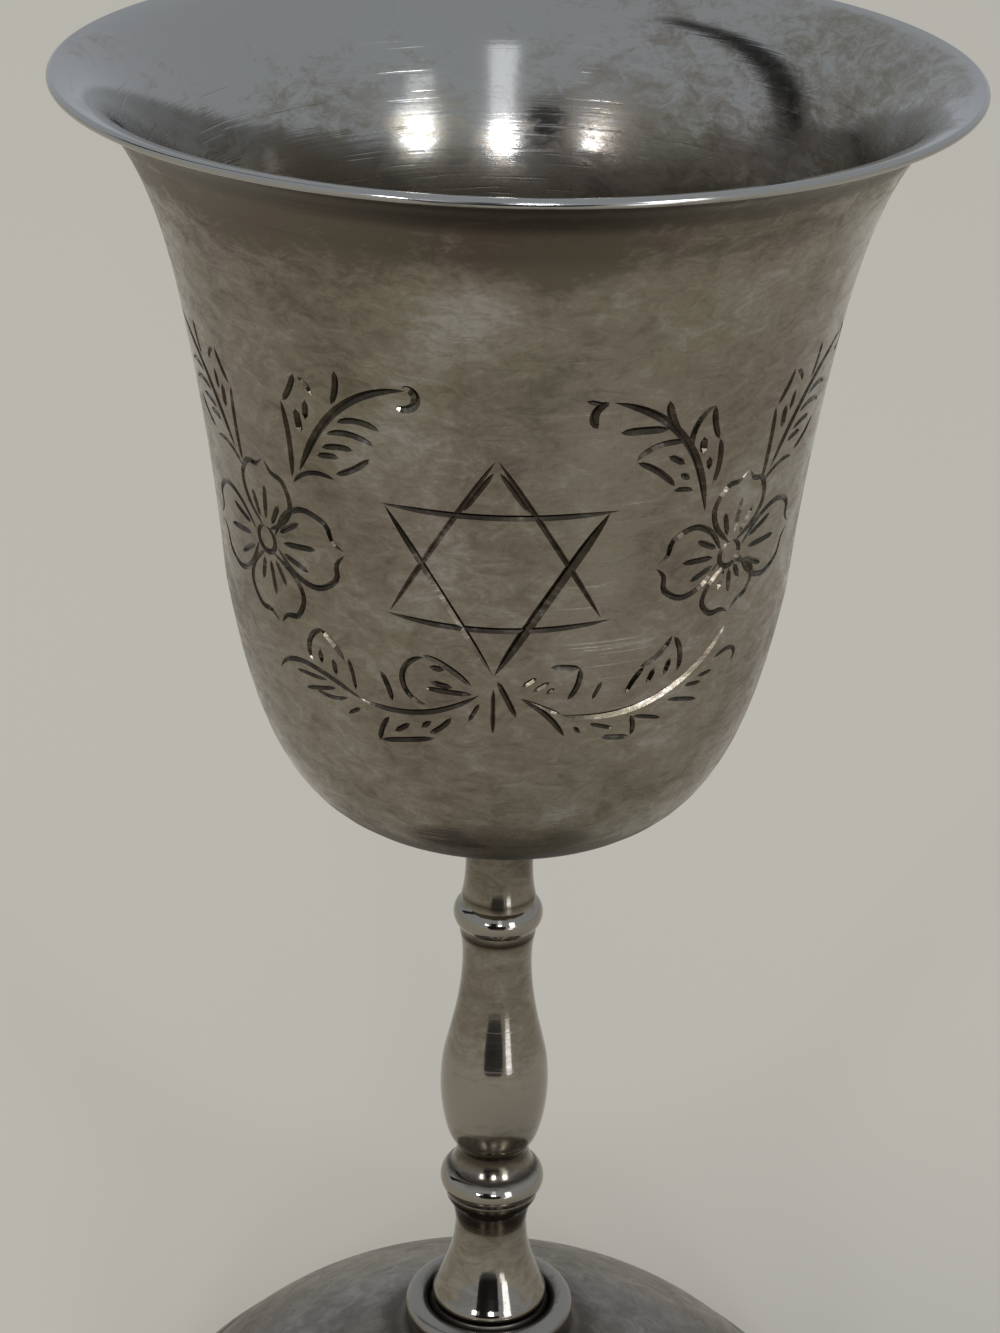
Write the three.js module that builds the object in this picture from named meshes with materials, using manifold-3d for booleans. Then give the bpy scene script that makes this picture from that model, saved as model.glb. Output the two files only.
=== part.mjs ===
// A silver-plated kiddush cup: an engraved, flared bowl on a turned baluster stem and a domed foot.
// Millimetres, +Z up. The origin is the centre of the foot's resting ring, and the front faces -Y.
import * as THREE from "three";
import { mergeVertices } from "three/addons/utils/BufferGeometryUtils.js";
import Module from "manifold-3d";

const wasm = await Module();
wasm.setup();

// ---------- driving dimensions ----------
const HEIGHT = 147.7; // resting ring to the top of the lip
const RIM_R = 40; // outermost radius of the flared lip
const WALL = 0.85; // thickness of the bowl's spun sheet
const WAIST = [29.1, 127]; // where the flare runs into the steep wall: radius, height
const BELLY = [25.55, 101]; // where the steep wall runs into the round bottom
const BOWL_Z = 77.3; // underside of the bowl, on the stem
const NECK_R = 3.45; // top of the stem
const TOP_NECK = [3.24, 71.2]; // narrowest places of the stem, from the top down
const LONG_NECK = [3.37, 60];
const SHORT_NECK = [3.55, 38.5];
const COVE = [3.54, 29.3];
const UPPER_BEAD = [2.55, 65.1]; // centres of the beads' round edges
const UPPER_BEAD_R = 1.77;
const LOWER_BEAD = [3.45, 34.85];
const LOWER_BEAD_R = 1.72;
const SEAT_Z = 20.3; // underside of the stem, on the foot
const SEAT_R = 5.8;
const COLLAR = [7.35, SEAT_Z - 0.95]; // centre of the round collar on the foot
const COLLAR_TUBE = 1.15;
const DOME_TOP = [9.7, 16.4]; // where the foot's dome starts, under the collar
const DOME_EDGE = [33.2, 2.3];
const FOOT_R = 35; // outer edge of the foot
const FOOT_EDGE = 0.8; // height of that edge
const FOOT_WALL = 1.1; // thickness of the foot's spun sheet
const REST_R = 32.9; // inner edge of the flat ring that the cup stands on

const BOWL_SIDES = 36;
const STEM_SIDES = 18;
const FOOT_SIDES = 32;

// The engraving is laid out flat: u runs round the bowl in millimetres at this radius, from the front towards +X.
const UNROLL_R = 27;
const SWING = -0.45; // the whole drawing sits this far round from the front
const FINE = 0.45; // widths of the graver's cuts
const PLAIN = 0.58;
const BOLD = 0.74;
const STEEPNESS = 0.55; // depth of a cut for each millimetre of its width
const SHORTEST_CUT = 2.4; // shorter cuts, and finer ones than PLAIN, are too fine for the solid
const LONGEST_STEP = 5; // a longer straight step would dive under the round wall
const SHARPEST_BEND = 58; // degrees that a cut may turn between two steps
const GRAVER_LIFT = 0.3; // the tool stands this far out of the metal
const ENTRY_LIFT = 0.06; // and its sharp edge this far where a cut begins and ends

// ---------- outlines: lists of [radius, height] ----------

// A cubic curve from a to d, pulled towards b and c. Its first point belongs to what comes before it.
function curve(a, b, c, d, steps) {
  const bezier = new THREE.CubicBezierCurve(...[a, b, c, d].map((p) => new THREE.Vector2(...p)));
  return bezier
    .getPoints(steps)
    .slice(1)
    .map((p) => [p.x, p.y]);
}

// A circular arc about a centre, from one angle to another in degrees, with both of its ends.
function arc([r, z], radius, from, to, steps) {
  return Array.from({ length: steps + 1 }, (_, i) => {
    const angle = THREE.MathUtils.degToRad(from + ((to - from) * i) / steps);
    return [r + radius * Math.cos(angle), z + radius * Math.sin(angle)];
  });
}

// The same outline moved sideways by a distance, to the left of its direction of travel.
function offset(outline, distance) {
  return outline.map(([r, z], i) => {
    const [r0, z0] = outline[Math.max(i - 1, 0)];
    const [r1, z1] = outline[Math.min(i + 1, outline.length - 1)];
    const length = Math.hypot(r1 - r0, z1 - z0);
    return [Math.max(r - (distance * (z1 - z0)) / length, 0), z + (distance * (r1 - r0)) / length];
  });
}

// ---------- solids ----------

// A closed manifold solid from a geometry whose faces already point outwards.
function solid(geometry) {
  const bare = new THREE.BufferGeometry().setAttribute("position", geometry.getAttribute("position"));
  bare.setIndex(geometry.index);
  const merged = mergeVertices(bare, 1e-4);
  const triangles = [];
  for (let i = 0; i < merged.index.count; i += 3) {
    const [a, b, c] = merged.index.array.slice(i, i + 3);
    if (a !== b && b !== c && c !== a) triangles.push(a, b, c);
  }
  return new wasm.Manifold(
    new wasm.Mesh({
      numProp: 3,
      vertProperties: merged.attributes.position.array,
      triVerts: new Uint32Array(triangles),
    }),
  );
}

// A body of revolution about Z. The outline runs anticlockwise, seen with the radius to the right.
function turned(outline, sides) {
  const points = outline.map(([r, z]) => new THREE.Vector2(r, z));
  return solid(new THREE.LatheGeometry(points, sides).rotateX(Math.PI / 2));
}

// A named mesh of a solid, in its own metal.
function piece(name, body, color, roughness) {
  const { vertProperties, triVerts, numProp, numVert } = body.getMesh();
  const positions = new Float32Array(numVert * 3);
  for (let i = 0; i < numVert; i++) {
    positions.set(vertProperties.subarray(i * numProp, i * numProp + 3), i * 3);
  }
  const geometry = new THREE.BufferGeometry()
    .setAttribute("position", new THREE.BufferAttribute(positions, 3))
    .setIndex(new THREE.BufferAttribute(triVerts, 1));
  geometry.computeVertexNormals();
  const material = new THREE.MeshStandardMaterial({ color, roughness, metalness: 1 });
  const mesh = new THREE.Mesh(geometry, material);
  mesh.name = name;
  return mesh;
}

// ---------- the bowl ----------

const LIP = [RIM_R - WALL / 2, HEIGHT - WALL / 2]; // centre of the rounded lip

// The outside of the bowl from the stem's joint up to the lip: a round bottom that starts flat, a steep wall, and a
// flare that ends almost level. The steps are those of each of the three curves.
function bowlOutside(bottomSteps, wallSteps, flareSteps) {
  const [lipR, lipZ] = [LIP[0], LIP[1] - WALL / 2];
  return [
    [NECK_R, BOWL_Z],
    ...curve([NECK_R, BOWL_Z], [15, BOWL_Z], [21.7, BOWL_Z], BELLY, bottomSteps),
    ...curve(BELLY, [25.87, 103], [26.2, 111.5], WAIST, wallSteps),
    ...curve(WAIST, [29.6, 129.6], [32.4, lipZ - 1.2], [lipR, lipZ], flareSteps),
  ];
}

// The point above a place of the unrolled bowl, some height outside its surface.
const OUTLINE = bowlOutside(32, 12, 28);
function onBowl(u, z, height) {
  const next = OUTLINE.findIndex(([, outlineZ]) => outlineZ > z);
  const [[r0, z0], [r1, z1]] = [OUTLINE[next - 1], OUTLINE[next]];
  const length = Math.hypot(r1 - r0, z1 - z0);
  const r = r0 + ((r1 - r0) * (z - z0)) / (z1 - z0) + (height * (z1 - z0)) / length;
  const angle = (u + SWING) / UNROLL_R;
  return [r * Math.sin(angle), -r * Math.cos(angle), z - (height * (r1 - r0)) / length];
}

// ---------- the engraving ----------

// A point some way off another in a direction, given in degrees from +u.
function off([u, z], heading, distance) {
  const angle = THREE.MathUtils.degToRad(heading);
  return [u + distance * Math.cos(angle), z + distance * Math.sin(angle)];
}

const cuts = []; // each is { path: [[u, z], ...], width }

// One cut: the graver goes in at a point, heads off and turns on its way. With late over 1 it turns near the end.
function cut(start, heading, length, turn = 0, width = PLAIN, late = 1) {
  const steps = Math.ceil(Math.max(2, Math.abs(turn) / SHARPEST_BEND, length / LONGEST_STEP));
  const path = [start];
  for (let i = 0; i < steps; i++) {
    path.push(off(path[i], heading + turn * ((i + 0.5) / steps) ** late, length / steps));
  }
  if (length >= SHORTEST_CUT && width >= PLAIN) cuts.push({ path, width });
}

// One cut through given points.
function trace(path, width = PLAIN) {
  cuts.push({ path, width });
}

// A cut from corner to corner that sags by a distance in its middle.
function span([u0, z0], [u1, z1], sag, width) {
  const steps = Math.ceil(Math.hypot(u1 - u0, z1 - z0) / LONGEST_STEP);
  const path = Array.from({ length: steps + 1 }, (_, i) => {
    const t = i / steps;
    return [u0 + (u1 - u0) * t, z0 + (z1 - z0) * t - 4 * sag * t * (1 - t)];
  });
  trace(path, width);
}

// Two crossed triangles, each of three overshooting cuts; the level ones sag.
function star([u, z], reach, half, sags, widths) {
  [1, -1].forEach((up, i) => {
    const [left, right] = [-1, 1].map((side) => [u + side * half, z - (up * reach) / 2]);
    const apex = [u, z + up * reach];
    span(off(left, 180, 0.4), off(right, 0, 1), sags[i], PLAIN);
    span(apex, left, 0, widths[i][0]);
    span(apex, right, 0, widths[i][1]);
  });
}

// The edge of a petal: how far out it runs, and how far aside, as shares of its length and of its half width.
const PETAL_EDGE = [
  [0.13, 0.1],
  [0.34, 0.74],
  [0.6, 1],
  [0.84, 0.72],
  [0.88, 0.3],
  [1, 0.02],
];

const VEIN_START = 0.24; // a petal's veins, as shares of its length, and the degrees between them
const LONG_VEIN = 0.44;
const SHORT_VEIN = 0.34;
const VEIN_SPREAD = 24;

// A ring with petals round it, each with a pointed tip and three veins: [heading, length, half width].
function flower(centre, ring, petals) {
  cut(off(centre, 90, ring), 180, 2 * Math.PI * ring, 360);
  for (const [heading, length, half] of petals) {
    for (const side of [1, -1]) {
      const edge = PETAL_EDGE.map(([out, aside]) => {
        return off(off(centre, heading, length * out), heading + side * 90, half * aside);
      });
      trace(edge);
    }
    const from = length * VEIN_START;
    cut(off(centre, heading, from), heading, length * LONG_VEIN);
    for (const vein of [heading - VEIN_SPREAD, heading + VEIN_SPREAD]) {
      cut(off(centre, vein, from), vein, length * SHORT_VEIN);
    }
  }
}

// Sprigs are lists of cuts laid out from their root, growing towards +u:
// [aside, up, heading, length, turn, width, late].
const CURLED_SPRIG = [
  [0, 0, 63, 15.2, -60, BOLD, 1.9], // the stalk, and the curl at its tip
  [10.2, 10.1, 5, 4, -225, BOLD],
  [4.4, 5.7, 32, 4.1, -66], // four ribs of a feathered leaf, and its lower edge
  [3.3, 4.4, 28, 4.6, -62],
  [2.7, 3, 24, 3.2, -32],
  [2.1, 2.1, 22, 2.4, -28],
  [-0.9, -1.3, 56, 5.3, -76, FINE],
  [3.8, 0.8, 18, 4.1, 30],
  [-0.9, -0.8, 82, 7.3, 18], // the pointed leaf behind the stalk, and its veins
  [-0.8, 6.4, 50, 3.4, 24],
  [1.1, 9.1, -18, 2, -60, FINE],
  [0.7, 3.8, 95, 2.3, 0, BOLD],
  [1.4, 5.2, 83, 2],
  [4.1, 7.3, 62, 3.4, 34], // a bud
];
const LEAFY_SPRIG = [
  [0, 0, 79, 16.4, -66, BOLD, 1.3], // the stalk, and the hook at its tip
  [10, 11.9, -10, 3, -125, BOLD],
  [11.9, 12.2, 198, 2, 0, FINE],
  [3.6, 7.9, 52, 4, 30, BOLD], // a bud and a rib
  [4.8, 8.8, 8, 4.2, -10, BOLD],
  [2.9, 7.4, 8, 4.9, -66, PLAIN, 1.8], // the leaf in front of the stalk
  [7.3, 6.1, 202, 4.8, 30],
  [3.7, 2.9, 176, 2.2, 30, FINE],
  [4.6, 6.3, 206, 2.1, 12],
  [3.2, 4.4, 210, 1.3, 12],
  [2.4, 5.9, 80, 5.1, 80, PLAIN, 1.6], // the leaf behind it
  [0.8, 10.3, 266, 3.6, -26],
  [-0.3, 7, 250, 4.6, 40],
  [1.4, 7.5, 264, 1.7, 0, BOLD],
  [0.5, 5.5, 262, 1.4],
];
const ROUND_LEAF_BRANCH = [
  [1.1, -0.7, -36, 12.5, 50], // the stalk, which droops at its tip
  [12.7, -3.1, 22, 11.6, -84, PLAIN, 2.6],
  [1.9, 0, 40, 5.3, -30, PLAIN, 2], // the round leaf above it, and its veins
  [6.2, 2.4, -4, 7.2, -176],
  [1.8, -0.8, 0, 4.6, 6],
  [3.6, -0.3, 10, 2.2],
  [4.3, 1.4, 6, 1.6],
  [9.5, -2.6, 84, 3.2, -26], // two blades of grass
  [13.3, -2.4, 88, 3.3, -14, FINE],
  [14.2, 0.4, 55, 3.6, -25], // the far leaf
  [16.4, 2.8, -10, 4.6, -110],
  [17, -0.7, 90, 1.6],
  [15.4, -1.4, 85, 1.7],
  [16.4, -2.2, -2, 4.3, 0, FINE], // ribs under the tip
  [15.5, -2.7, -16, 4.4, 0, FINE],
  [14.2, -3.3, -26, 4.4, 46, FINE],
  [12.9, -4, -32, 2.1, 0, FINE],
  [3.8, -3.3, -56, 3.1, 30], // the leaf below the stalk
  [5.4, -5.7, -12, 6],
  [11.3, -7.1, 100, 3.3, 30],
  [7.8, -4.5, -34, 2.2],
  [5.7, -3.9, -38, 1.5],
];
const RISING_BRANCH = [
  [6, -2.8, -14, 19.6, 66, BOLD], // the stalk
  [2.4, -1, -28, 6.2, -32],
  [2.5, -1.1, -24, 4.2, 0, FINE],
  [5, 2, -2, 2.8, -6], // the hooked leaf beside the star's foot, and its veins
  [7.7, 1.9, -80, 3.6, -55],
  [2.5, 0.1, 35, 1.7, 0, FINE],
  [3.5, -0.4, 33, 1.9, 0, FINE],
  [4.7, -0.7, 41, 1.1, 0, FINE],
  [9, -1.6, 62, 2.1, 8, FINE],
  [12.3, -1.5, 72, 3.1, -30], // the leaf above the stalk
  [13.4, 1.1, 12, 4.2, 50],
  [16.8, 3.4, -48, 3.9, -60],
  [14.4, -0.9, 70, 1.8],
  [16.1, -0.3, 72, 1.8],
  [10.3, -5.6, -8, 3.2], // the leaf below it
  [13.5, -6, 70, 2.4, 60],
  [9, -4, -18, 2.8, 0, FINE],
  [7.5, -4.1, -48, 1.2, 0, FINE],
  [13.3, -3.9, -10, 3.6, -10, FINE], // ribs towards the tip
  [17, -3, -9, 4.1, -10, FINE],
  [18.8, -2, -5, 2.3, 0, FINE],
  [20.3, -1.5, 3, 2.1, 0, FINE],
  [22.1, -0.2, 20, 4.6, -190, FINE, 2.6],
];

// A sprig grown from a root towards one side: 1 for +u, -1 for its mirror image.
function sprig([u, z], side, pattern) {
  for (const [aside, up, heading, length, turn = 0, width, late] of pattern) {
    const start = [u + side * aside, z + up];
    cut(start, side > 0 ? heading : 180 - heading, length, side * turn, width, late);
  }
}

const STAR = [-0.5, 112.3];
const TIE = [STAR[0], 100.9]; // where the two lower branches meet, under the star
const BACK = Math.PI * UNROLL_R;
const LEFT_PETALS = [
  [8, 9.7, 3.6],
  [83, 8, 3.3],
  [187, 10, 3.9],
  [277, 7.8, 3.9],
];
const RIGHT_PETALS = [
  [-2, 10.2, 3.5],
  [84, 7.8, 3.2],
  [176, 8.2, 3.3],
  [280, 6, 3.3],
];

// The front has the star between two flowers, each with two sprigs, over two branches; the back has branches alone.
function engrave() {
  star(STAR, 10.3, 9.4, [0.7, 0.3], [[0.5, 0.5], [0.62, 0.95]]);
  cut(off(TIE, 66, 0.8), -64, 4.2);
  sprig(TIE, -1, ROUND_LEAF_BRANCH);
  sprig(TIE, 1, RISING_BRANCH);

  flower([-23.5, 110.4], 1.2, LEFT_PETALS);
  sprig([-18, 118.4], 1, CURLED_SPRIG);
  sprig([-26.7, 117.6], -1, CURLED_SPRIG);

  flower([21.7, 110.9], 1.2, RIGHT_PETALS);
  sprig([17.9, 115.7], -1, LEAFY_SPRIG);
  sprig([25.4, 117.6], 1, CURLED_SPRIG);

  for (const side of [-1, 1]) sprig([BACK, TIE[1]], side, ROUND_LEAF_BRANCH);
}

// A groove's tool: a three-sided bar that follows the path, with its sharp edge down in the metal. It rises clear of
// the metal at both ends, so that the cut runs out to a point.
function graver({ path, width }) {
  const depth = width * STEEPNESS;
  const last = path.length - 1;
  const positions = path.flatMap(([u, z], i) => {
    const [u0, z0] = path[Math.max(i - 1, 0)];
    const [u1, z1] = path[Math.min(i + 1, last)];
    const length = Math.hypot(u1 - u0, z1 - z0);
    const aside = [-(z1 - z0) / length, (u1 - u0) / length];
    const bottom = i === 0 || i === last ? ENTRY_LIFT : -depth;
    const half = ((GRAVER_LIFT - bottom) / depth) * (width / 2);
    return [
      ...onBowl(u, z, bottom),
      ...onBowl(u + aside[0] * half, z + aside[1] * half, GRAVER_LIFT),
      ...onBowl(u - aside[0] * half, z - aside[1] * half, GRAVER_LIFT),
    ];
  });
  const faces = [0, 2, 1, 3 * last, 3 * last + 1, 3 * last + 2];
  for (let i = 0; i < last; i++) {
    for (let j = 0; j < 3; j++) {
      const [a, b] = [3 * i + j, 3 * i + ((j + 1) % 3)];
      faces.push(a, b, b + 3, a, b + 3, a + 3);
    }
  }
  const bar = new THREE.BufferGeometry();
  bar.setAttribute("position", new THREE.Float32BufferAttribute(positions, 3));
  bar.setIndex(faces);
  return solid(bar);
}

// The spun shell, hollow inside, with the engraving cut into its outside.
function bowl() {
  const inside = offset(bowlOutside(6, 2, 5), WALL).reverse();
  inside[0] = [LIP[0], HEIGHT];
  const lip = arc(LIP, WALL / 2, -90, 90, 4).slice(1, -1);
  const outline = [[0, BOWL_Z], ...bowlOutside(8, 3, 7), ...lip, ...inside, [0, BOWL_Z + WALL]];
  engrave();
  return turned(outline, BOWL_SIDES).subtract(wasm.Manifold.union(cuts.map(graver)));
}

// ---------- the stem ----------

// Turned in one piece, from the bottom up: bell, cove, bead, short neck, baluster, long neck, bead and neck.
function stem() {
  const bellLip = [SEAT_R - 0.3, SEAT_Z + 1.5];
  const lowerFillet = [4.5, 32.75];
  const baluster = [4.83, 50.4];
  const upperFillet = [3.66, 63];
  const outline = [
    [0, SEAT_Z],
    [SEAT_R - 0.35, SEAT_Z],
    ...curve([SEAT_R - 0.35, SEAT_Z], [SEAT_R + 0.1, SEAT_Z], [SEAT_R + 0.15, 21.1], bellLip, 2),
    ...curve(bellLip, [4.8, 23.6], [3.7, 26.2], [3.6, 28.9], 4),
    COVE,
    ...curve(COVE, [3.6, 30.6], [3.85, 31.8], [4.25, 32.35], 2),
    lowerFillet,
    ...arc(LOWER_BEAD, LOWER_BEAD_R, -50, 62, 5),
    ...curve([4.26, 36.37], [3.8, 37.1], [SHORT_NECK[0], 37.9], SHORT_NECK, 2),
    ...curve(SHORT_NECK, [3.62, 39.1], [4.15, 39.5], [4.5, 40.5], 2),
    ...curve([4.5, 40.5], [5.4, 43.2], [5.65, 47.2], baluster, 4),
    ...curve(baluster, [4.27, 52.9], [3.42, 55.9], LONG_NECK, 4),
    ...curve(LONG_NECK, [LONG_NECK[0], 61.4], [3.5, 62.4], upperFillet, 2),
    ...arc(UPPER_BEAD, UPPER_BEAD_R, -48, 52, 4),
    [3.56, 67.2],
    ...curve([3.56, 67.2], [3.3, 68.4], [3.2, 70], TOP_NECK, 2),
    ...curve(TOP_NECK, [3.3, 73.5], [NECK_R, 75.5], [NECK_R, BOWL_Z], 2),
    [0, BOWL_Z],
  ];
  return turned(outline, STEM_SIDES);
}

// ---------- the foot ----------

// A spun dome, hollow underneath, with a flat seat and a round collar at its top and a flat ring at its edge.
function foot() {
  const dome = curve(DOME_TOP, [17, 14.2], [28.3, 9.2], DOME_EDGE, 7);
  const crown = SEAT_Z - 2; // the ceiling of the hollow
  const outline = [
    [0, crown],
    [SEAT_R - 0.2, crown],
    ...offset(dome, -FOOT_WALL).slice(1, -1),
    [REST_R - 0.2, FOOT_EDGE],
    [REST_R, 0],
    [FOOT_R - 0.3, 0],
    [FOOT_R, 0.3],
    [FOOT_R, FOOT_EDGE],
    ...curve([FOOT_R, FOOT_EDGE], [34.6, 1.2], [33.8, 1.4], DOME_EDGE, 2),
    ...dome.slice(0, -1).reverse(),
    DOME_TOP,
    ...curve(DOME_TOP, [8.9, 16.7], [8.3, 17.4], [8.25, 18.5], 2),
    ...arc(COLLAR, COLLAR_TUBE, -35, 185, 5),
    [SEAT_R, SEAT_Z],
    [0, SEAT_Z],
  ];
  return turned(outline, FOOT_SIDES);
}

// ---------- the cup ----------
const cup = new THREE.Group();
cup.add(piece("bowl", bowl(), 0x8a8074, 0.34));
cup.add(piece("stem", stem(), 0xa39b90, 0.18));
cup.add(piece("foot", foot(), 0x7f766c, 0.36));

export default cup;
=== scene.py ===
# %% [markdown]
# # A kiddush cup in silver plate
# This lesson dresses a finished CAD model of a kiddush cup, the goblet over which wine is blessed. The cup
# has three pieces: a spun bowl with engraving cut into its outside, a turned stem, and a spun foot. The CAD
# model says how big each piece is and where it sits. Here each one is made again, smoother and finer, and
# given its metal: old silver plate that is polished where hands rub it and brown where they don't.

import math

import bpy
import numpy as np
from mathutils import Matrix, Vector


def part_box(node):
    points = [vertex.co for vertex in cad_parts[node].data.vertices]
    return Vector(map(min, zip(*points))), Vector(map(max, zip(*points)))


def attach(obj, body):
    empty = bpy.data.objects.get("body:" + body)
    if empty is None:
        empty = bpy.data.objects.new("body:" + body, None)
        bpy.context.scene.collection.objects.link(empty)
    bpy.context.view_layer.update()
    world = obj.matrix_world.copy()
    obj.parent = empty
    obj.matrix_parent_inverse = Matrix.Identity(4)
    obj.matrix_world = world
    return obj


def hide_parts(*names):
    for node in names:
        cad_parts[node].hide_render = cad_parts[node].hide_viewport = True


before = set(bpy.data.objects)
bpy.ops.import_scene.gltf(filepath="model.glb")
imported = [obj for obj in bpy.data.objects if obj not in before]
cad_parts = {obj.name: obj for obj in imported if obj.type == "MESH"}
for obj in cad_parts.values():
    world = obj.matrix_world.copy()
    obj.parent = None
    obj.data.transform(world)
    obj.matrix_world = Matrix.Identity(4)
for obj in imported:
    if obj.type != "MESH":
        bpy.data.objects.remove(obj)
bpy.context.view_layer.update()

# %% [markdown]
# ## Sizes
# A maker works in millimetres and Blender in metres, so the outlines below are written in millimetres and
# scaled once, when a mesh is made. The overall sizes come from the boxes of the CAD pieces, so that the
# bright metal lands exactly where the solid is.

# %% Measure the three pieces
MM = 0.001


def measure(node):
    """Outer radius, lowest and highest point of a CAD piece in millimetres."""
    low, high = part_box(node)
    return (high.x - low.x) / 2 / MM, low.z / MM, high.z / MM


RIM_R, BOWL_Z, HEIGHT = measure("bowl")
_, SEAT_Z, _ = measure("stem")
FOOT_R, _, _ = measure("foot")
print(f"bowl to {HEIGHT:.1f} mm with a lip of radius {RIM_R:.1f}, foot of radius {FOOT_R:.1f}")

# %% [markdown]
# ## Drawing an outline
# Everything on this cup is turned, so each piece is one outline spun about the upright axis. An outline is
# a list of (radius, height) points. Long shapes are cubic curves, which a maker would draw with a bent
# lath, and beads are arcs of a circle. The sheet metal of the bowl and the foot is the same outline moved
# sideways by its thickness.


# %% Curves, arcs and offsets
def curve(a, b, c, d, steps):
    """A cubic curve from a to d, pulled towards b and c, without its first point."""
    t = np.linspace(0, 1, steps + 1)[1:, None]
    a, b, c, d = (np.array(point, float) for point in (a, b, c, d))
    return (1 - t) ** 3 * a + 3 * (1 - t) ** 2 * t * b + 3 * (1 - t) * t**2 * c + t**3 * d


def arc(centre, radius, start, end, steps):
    """A circular arc between two angles in degrees, with both of its ends."""
    angles = np.radians(np.linspace(start, end, steps + 1))
    return np.array(centre) + radius * np.stack([np.cos(angles), np.sin(angles)], 1)


def normals_along(outline):
    """The direction to the right of travel at each point, which is outwards on an anticlockwise outline."""
    ahead = np.roll(outline, -1, 0)
    behind = np.roll(outline, 1, 0)
    ahead[-1], behind[0] = outline[-1], outline[0]
    travel = ahead - behind
    travel /= np.linalg.norm(travel, axis=1)[:, None]
    return np.stack([travel[:, 1], -travel[:, 0]], 1)


def inset(outline, distance):
    """The outline moved inwards by the thickness of a sheet."""
    moved = outline - distance * normals_along(outline)
    moved[:, 0] = np.maximum(moved[:, 0], 0)
    return moved


# %% [markdown]
# ## Where metal stays dark and where it wears bright
# Tarnish is not spread evenly. It sits in corners that a polishing cloth can't reach, and is gone from
# edges that hands and cloths rub. It could be painted on by hand, but on a turned piece every corner is a
# ring, and a ring is one line of numbers that lands exactly on its corner. So each piece gets two short
# lists of rings, (radius, height, reach, strength), and every vertex stores how near it is to one in an
# attribute, a number kept with the mesh that the material can read.
# On the bowl, the same stored numbers also hold painted shade under the lip and the bottom, and a painted
# dark reflection inside.


# %% Store closeness to rings
def nearness(points, rings):
    """For (radius, height) points, 1 on a ring and falling to 0 a few times its reach away."""
    amount = np.zeros(len(points))
    for r, z, reach, strength in rings:
        distance = np.hypot(points[:, 0] - r, points[:, 1] - z)
        amount = np.maximum(amount, strength * np.exp(-((distance / reach) ** 2)))
    return amount


def store(mesh, name, values):
    """Keeps one number for each vertex under a name."""
    attribute = mesh.attributes.get(name) or mesh.attributes.new(name, "FLOAT", "POINT")
    attribute.data.foreach_set("value", np.asarray(values, np.float32))


def positions(mesh):
    """The vertices of a mesh as an array."""
    flat = np.empty(len(mesh.vertices) * 3, np.float32)
    mesh.vertices.foreach_get("co", flat)
    return flat.reshape(-1, 3).astype(float)


def radius_and_height(mesh):
    """Each vertex as a (radius, height) point in millimetres."""
    points = positions(mesh) / MM
    return np.stack([np.hypot(points[:, 0], points[:, 1]), points[:, 2]], 1)


def ring_attributes(mesh, **lists):
    """Stores the closeness to each list of rings under the list's name."""
    for name, rings in lists.items():
        store(mesh, name, nearness(radius_and_height(mesh), rings))


# %% [markdown]
# ## A lathe made of Geometry Nodes
# Blender has a Screw modifier and a Spin tool that would turn an outline. Here the lathe is a small node
# tree instead, because its rule is then in plain sight: lay out a grid with one column for each side and
# one row for each point of the outline, give each grid point the place of its outline point, and turn it by
# its column's share of a full circle. Doubles are merged at the end, which closes the seam and the poles on
# the axis. Edges with a sharp angle stay sharp, and all others are shaded smooth.


# %% Helpers for building node trees
def add(tree, kind, *inputs, **settings):
    """Adds a node. Inputs are given in order as values or as other nodes' outputs; None leaves one alone."""
    node = tree.nodes.new(kind)
    for name, value in settings.items():
        setattr(node, name, value)
    for socket, value in zip([s for s in node.inputs if s.enabled and not s.is_unavailable], inputs):
        if isinstance(value, bpy.types.NodeSocket):
            tree.links.new(value, socket)
        elif value is not None:
            socket.default_value = value
    return node


def out(node, name=0):
    """An output that the node is using, by its name or its place."""
    usable = [s for s in node.outputs if s.enabled and not s.is_unavailable]
    return usable[name] if isinstance(name, int) else next(s for s in usable if s.name == name)


def calc(tree, operation, *values):
    """The result of a Math node."""
    return out(add(tree, "ShaderNodeMath", *values, operation=operation))


def new_tree(name, kind, inputs, outputs):
    """A node group with named inputs and outputs, given as (name, socket type, default)."""
    tree = bpy.data.node_groups.new(name, kind)
    for direction, sockets in (("INPUT", inputs), ("OUTPUT", outputs)):
        for socket_name, socket_type, *default in sockets:
            socket = tree.interface.new_socket(socket_name, in_out=direction, socket_type=socket_type)
            if default:
                socket.default_value = default[0]
    given = tree.nodes.new("NodeGroupInput")
    result = tree.nodes.new("NodeGroupOutput")
    return tree, given.outputs, result.inputs


# %% Start the lathe: a grid that is turned
SHARP = math.radians(38)  # an edge that bends more than this stays sharp
WELD = 0.002 * MM  # points closer than this become one

lathe, given, result = new_tree(
    "turning lathe",
    "GeometryNodeTree",
    [
        ("Outline", "NodeSocketGeometry"),
        ("Sides", "NodeSocketInt", 64),
        ("Weld distance", "NodeSocketFloat", WELD),
        ("Sharp angle", "NodeSocketFloat", SHARP),
        ("Metal", "NodeSocketMaterial"),
    ],
    [("Turned piece", "NodeSocketGeometry")],
)
rows = out(add(lathe, "GeometryNodeAttributeDomainSize", given["Outline"], component="MESH"), "Point Count")
columns = calc(lathe, "ADD", given["Sides"], 1)
grid = add(lathe, "GeometryNodeMeshGrid", 1.0, 1.0, columns, rows)
index = out(add(lathe, "GeometryNodeInputIndex"))
row = calc(lathe, "MODULO", index, rows)
column = calc(lathe, "FLOOR", calc(lathe, "DIVIDE", index, rows))
turn = calc(lathe, "DIVIDE", calc(lathe, "MULTIPLY", column, 2 * math.pi), given["Sides"])
outline_place = out(add(lathe, "GeometryNodeInputPosition"))
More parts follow.
